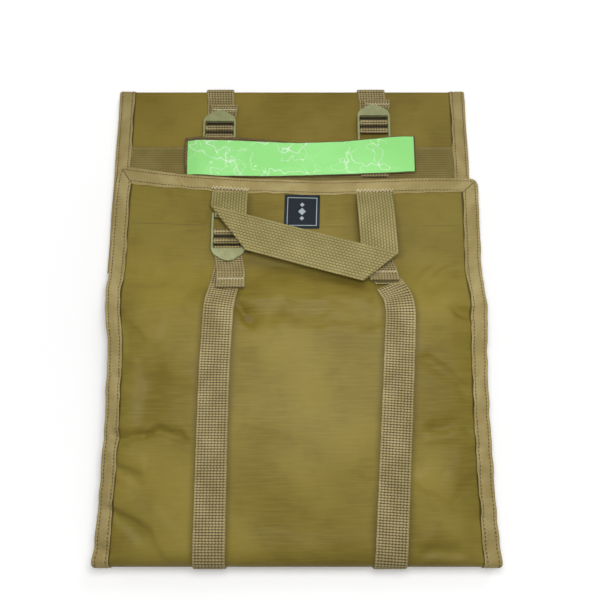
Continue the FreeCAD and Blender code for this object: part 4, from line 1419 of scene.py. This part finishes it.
def swell(piece, cap):
    """Inflates a piece with the cloth solver and keeps the result, no point moving further than the cap."""
    before = coordinates(piece)
    modifier = add_modifier(piece, "CLOTH")
    modifier.settings.use_pressure = True
    modifier.settings.uniform_pressure_force = 4.0
    modifier.settings.effector_weights.gravity = 0.0
    modifier.settings.quality = 5
    for number in range(1, 21):
        bpy.context.scene.frame_set(number)
    apply_modifiers(piece)
    bpy.context.scene.frame_set(1)
    after = coordinates(piece)
    move = after - before
    length = np.linalg.norm(move, axis=1)[:, None]
    after = before + move * np.minimum(1.0, cap / np.maximum(length, 1e-9))
    piece.data.vertices.foreach_set("co", after.ravel())
    piece.data.update()


CHANNELS = (-232.0, -176.0, -120.0, -64.0)


def channels(piece, low, high):
    """Sewn channels across the pad, flat where it lies on the back panel, kept inside the space it has."""
    co = coordinates(piece) / MM
    inside = 1 - between(np.abs(co[:, 0]), high[0] - 34, high[0] - 14)
    for y in CHANNELS:
        groove = np.exp(-((co[:, 1] - y) / 5.0) ** 2) * inside
        co[:, 2] -= 3.2 * groove * between(co[:, 2], 20, 27)
    co[:, 2] -= 0.5 * np.sin(co[:, 0] / 21.0 + co[:, 1] / 33.0) * between(co[:, 2], 20, 27)
    top_limit = high[2] - 1.0
    co[:, 2] = np.where(co[:, 2] > top_limit, top_limit + 0.35 * np.tanh(co[:, 2] - top_limit), co[:, 2])
    co[:, 2] = np.maximum(co[:, 2], low[2] + 0.2)
    for axis in (0, 1):
        co[:, axis] = np.clip(co[:, axis], low[axis] + 0.3, high[axis] - 0.3)
    piece.data.vertices.foreach_set("co", (co * MM).ravel())
    piece.data.update()


# ---- light, floor and camera ----

def make_floor():
    """A pale plane, with light of its own that grows away from the object so that the background is white."""
    mesh = bpy.data.meshes.new("floor")
    half = 6.0
    corners = [(-half, -half, 0), (half, -half, 0), (half, half, 0), (-half, half, 0)]
    mesh.from_pydata(corners, [], [(0, 1, 2, 3)])
    floor = put("floor", mesh)
    floor.location.z = CAD_BOX[0][2] - 0.0012        # just below everything, so that nothing cuts into it
    g = Graph("floor", 0.9, 0.1)
    g.set("Base Color", (0.9, 0.9, 0.9, 1.0))
    g.set("Emission Color", (1.0, 1.0, 1.0, 1.0))
    x, y, _ = g.split(g.place("Object"))
    distance = g.calc("SQRT", g.plus(g.times(x, x), g.times(y, y)))
    g.set("Emission Strength", g.calc("MINIMUM", 0.45, g.calc("MAXIMUM", 0.15, g.minus(distance, 0.10))))
    mesh.materials.append(g.material)


def add_area(name, place, aim, size, power):
    data = bpy.data.lights.new(name, "AREA")
    data.shape = "DISK"
    data.size = size
    data.energy = power
    light = put(name, data)
    light.location = place
    light.rotation_euler = (Vector(aim) - Vector(place)).to_track_quat("-Z", "Y").to_euler()


def make_light():
    world = bpy.data.worlds.new("studio")
    world.use_nodes = True
    world.node_tree.nodes["Background"].inputs["Color"].default_value = (1.0, 1.0, 1.0, 1.0)
    world.node_tree.nodes["Background"].inputs["Strength"].default_value = 0.26
    bpy.context.scene.world = world
    add_area("key", (0.75, 1.2, 1.35), (0.0, 0.0, 0.0), 0.6, 5.0)
    add_area("overhead", (0.04, -0.03, 0.70), (0.0, -0.06, 0.0), 0.30, 3.7)
    add_area("fill", (-1.3, 0.4, 1.0), (0.0, 0.0, 0.0), 1.0, 1.8)
    bpy.context.scene.view_settings.view_transform = "Standard"


def make_camera():
    """Nearly above, leaning toward the bottom fold, aimed a little off the middle of the bed."""
    elevation, distance = math.radians(78.0), 0.757
    aim_x, aim_y = 0.008, 0.011
    data = bpy.data.cameras.new("camera")
    data.sensor_width, data.lens = 36.0, 34.56
    camera = put("camera", data)
    camera.location = (aim_x, aim_y - distance * math.cos(elevation), distance * math.sin(elevation))
    camera.rotation_euler = (math.pi / 2 - elevation, 0, 0)
    bpy.context.scene.camera = camera


def build():
    make_sheets()
    make_bindings()
    make_mitres()
    make_hem()
    for label, centre in (("left", LEFT_STRAP), ("right", RIGHT_STRAP)):
        make_front_strap(label, centre)
        make_anchor("front", label, "front_flap", 142.0, FLAP_Z + STRAP_LIFT)
        make_rear_strap(label, centre)
        make_anchor("rear", label, "top_flap", 177.0, TOP_Z + TAIL_LIFT)
    dress_locks()
    make_handle()
    make_handle_tacks()
    make_rear_handle()
    make_band()
    make_marker()
    make_label()
    make_pad()


build()
make_floor()
make_light()
make_camera()
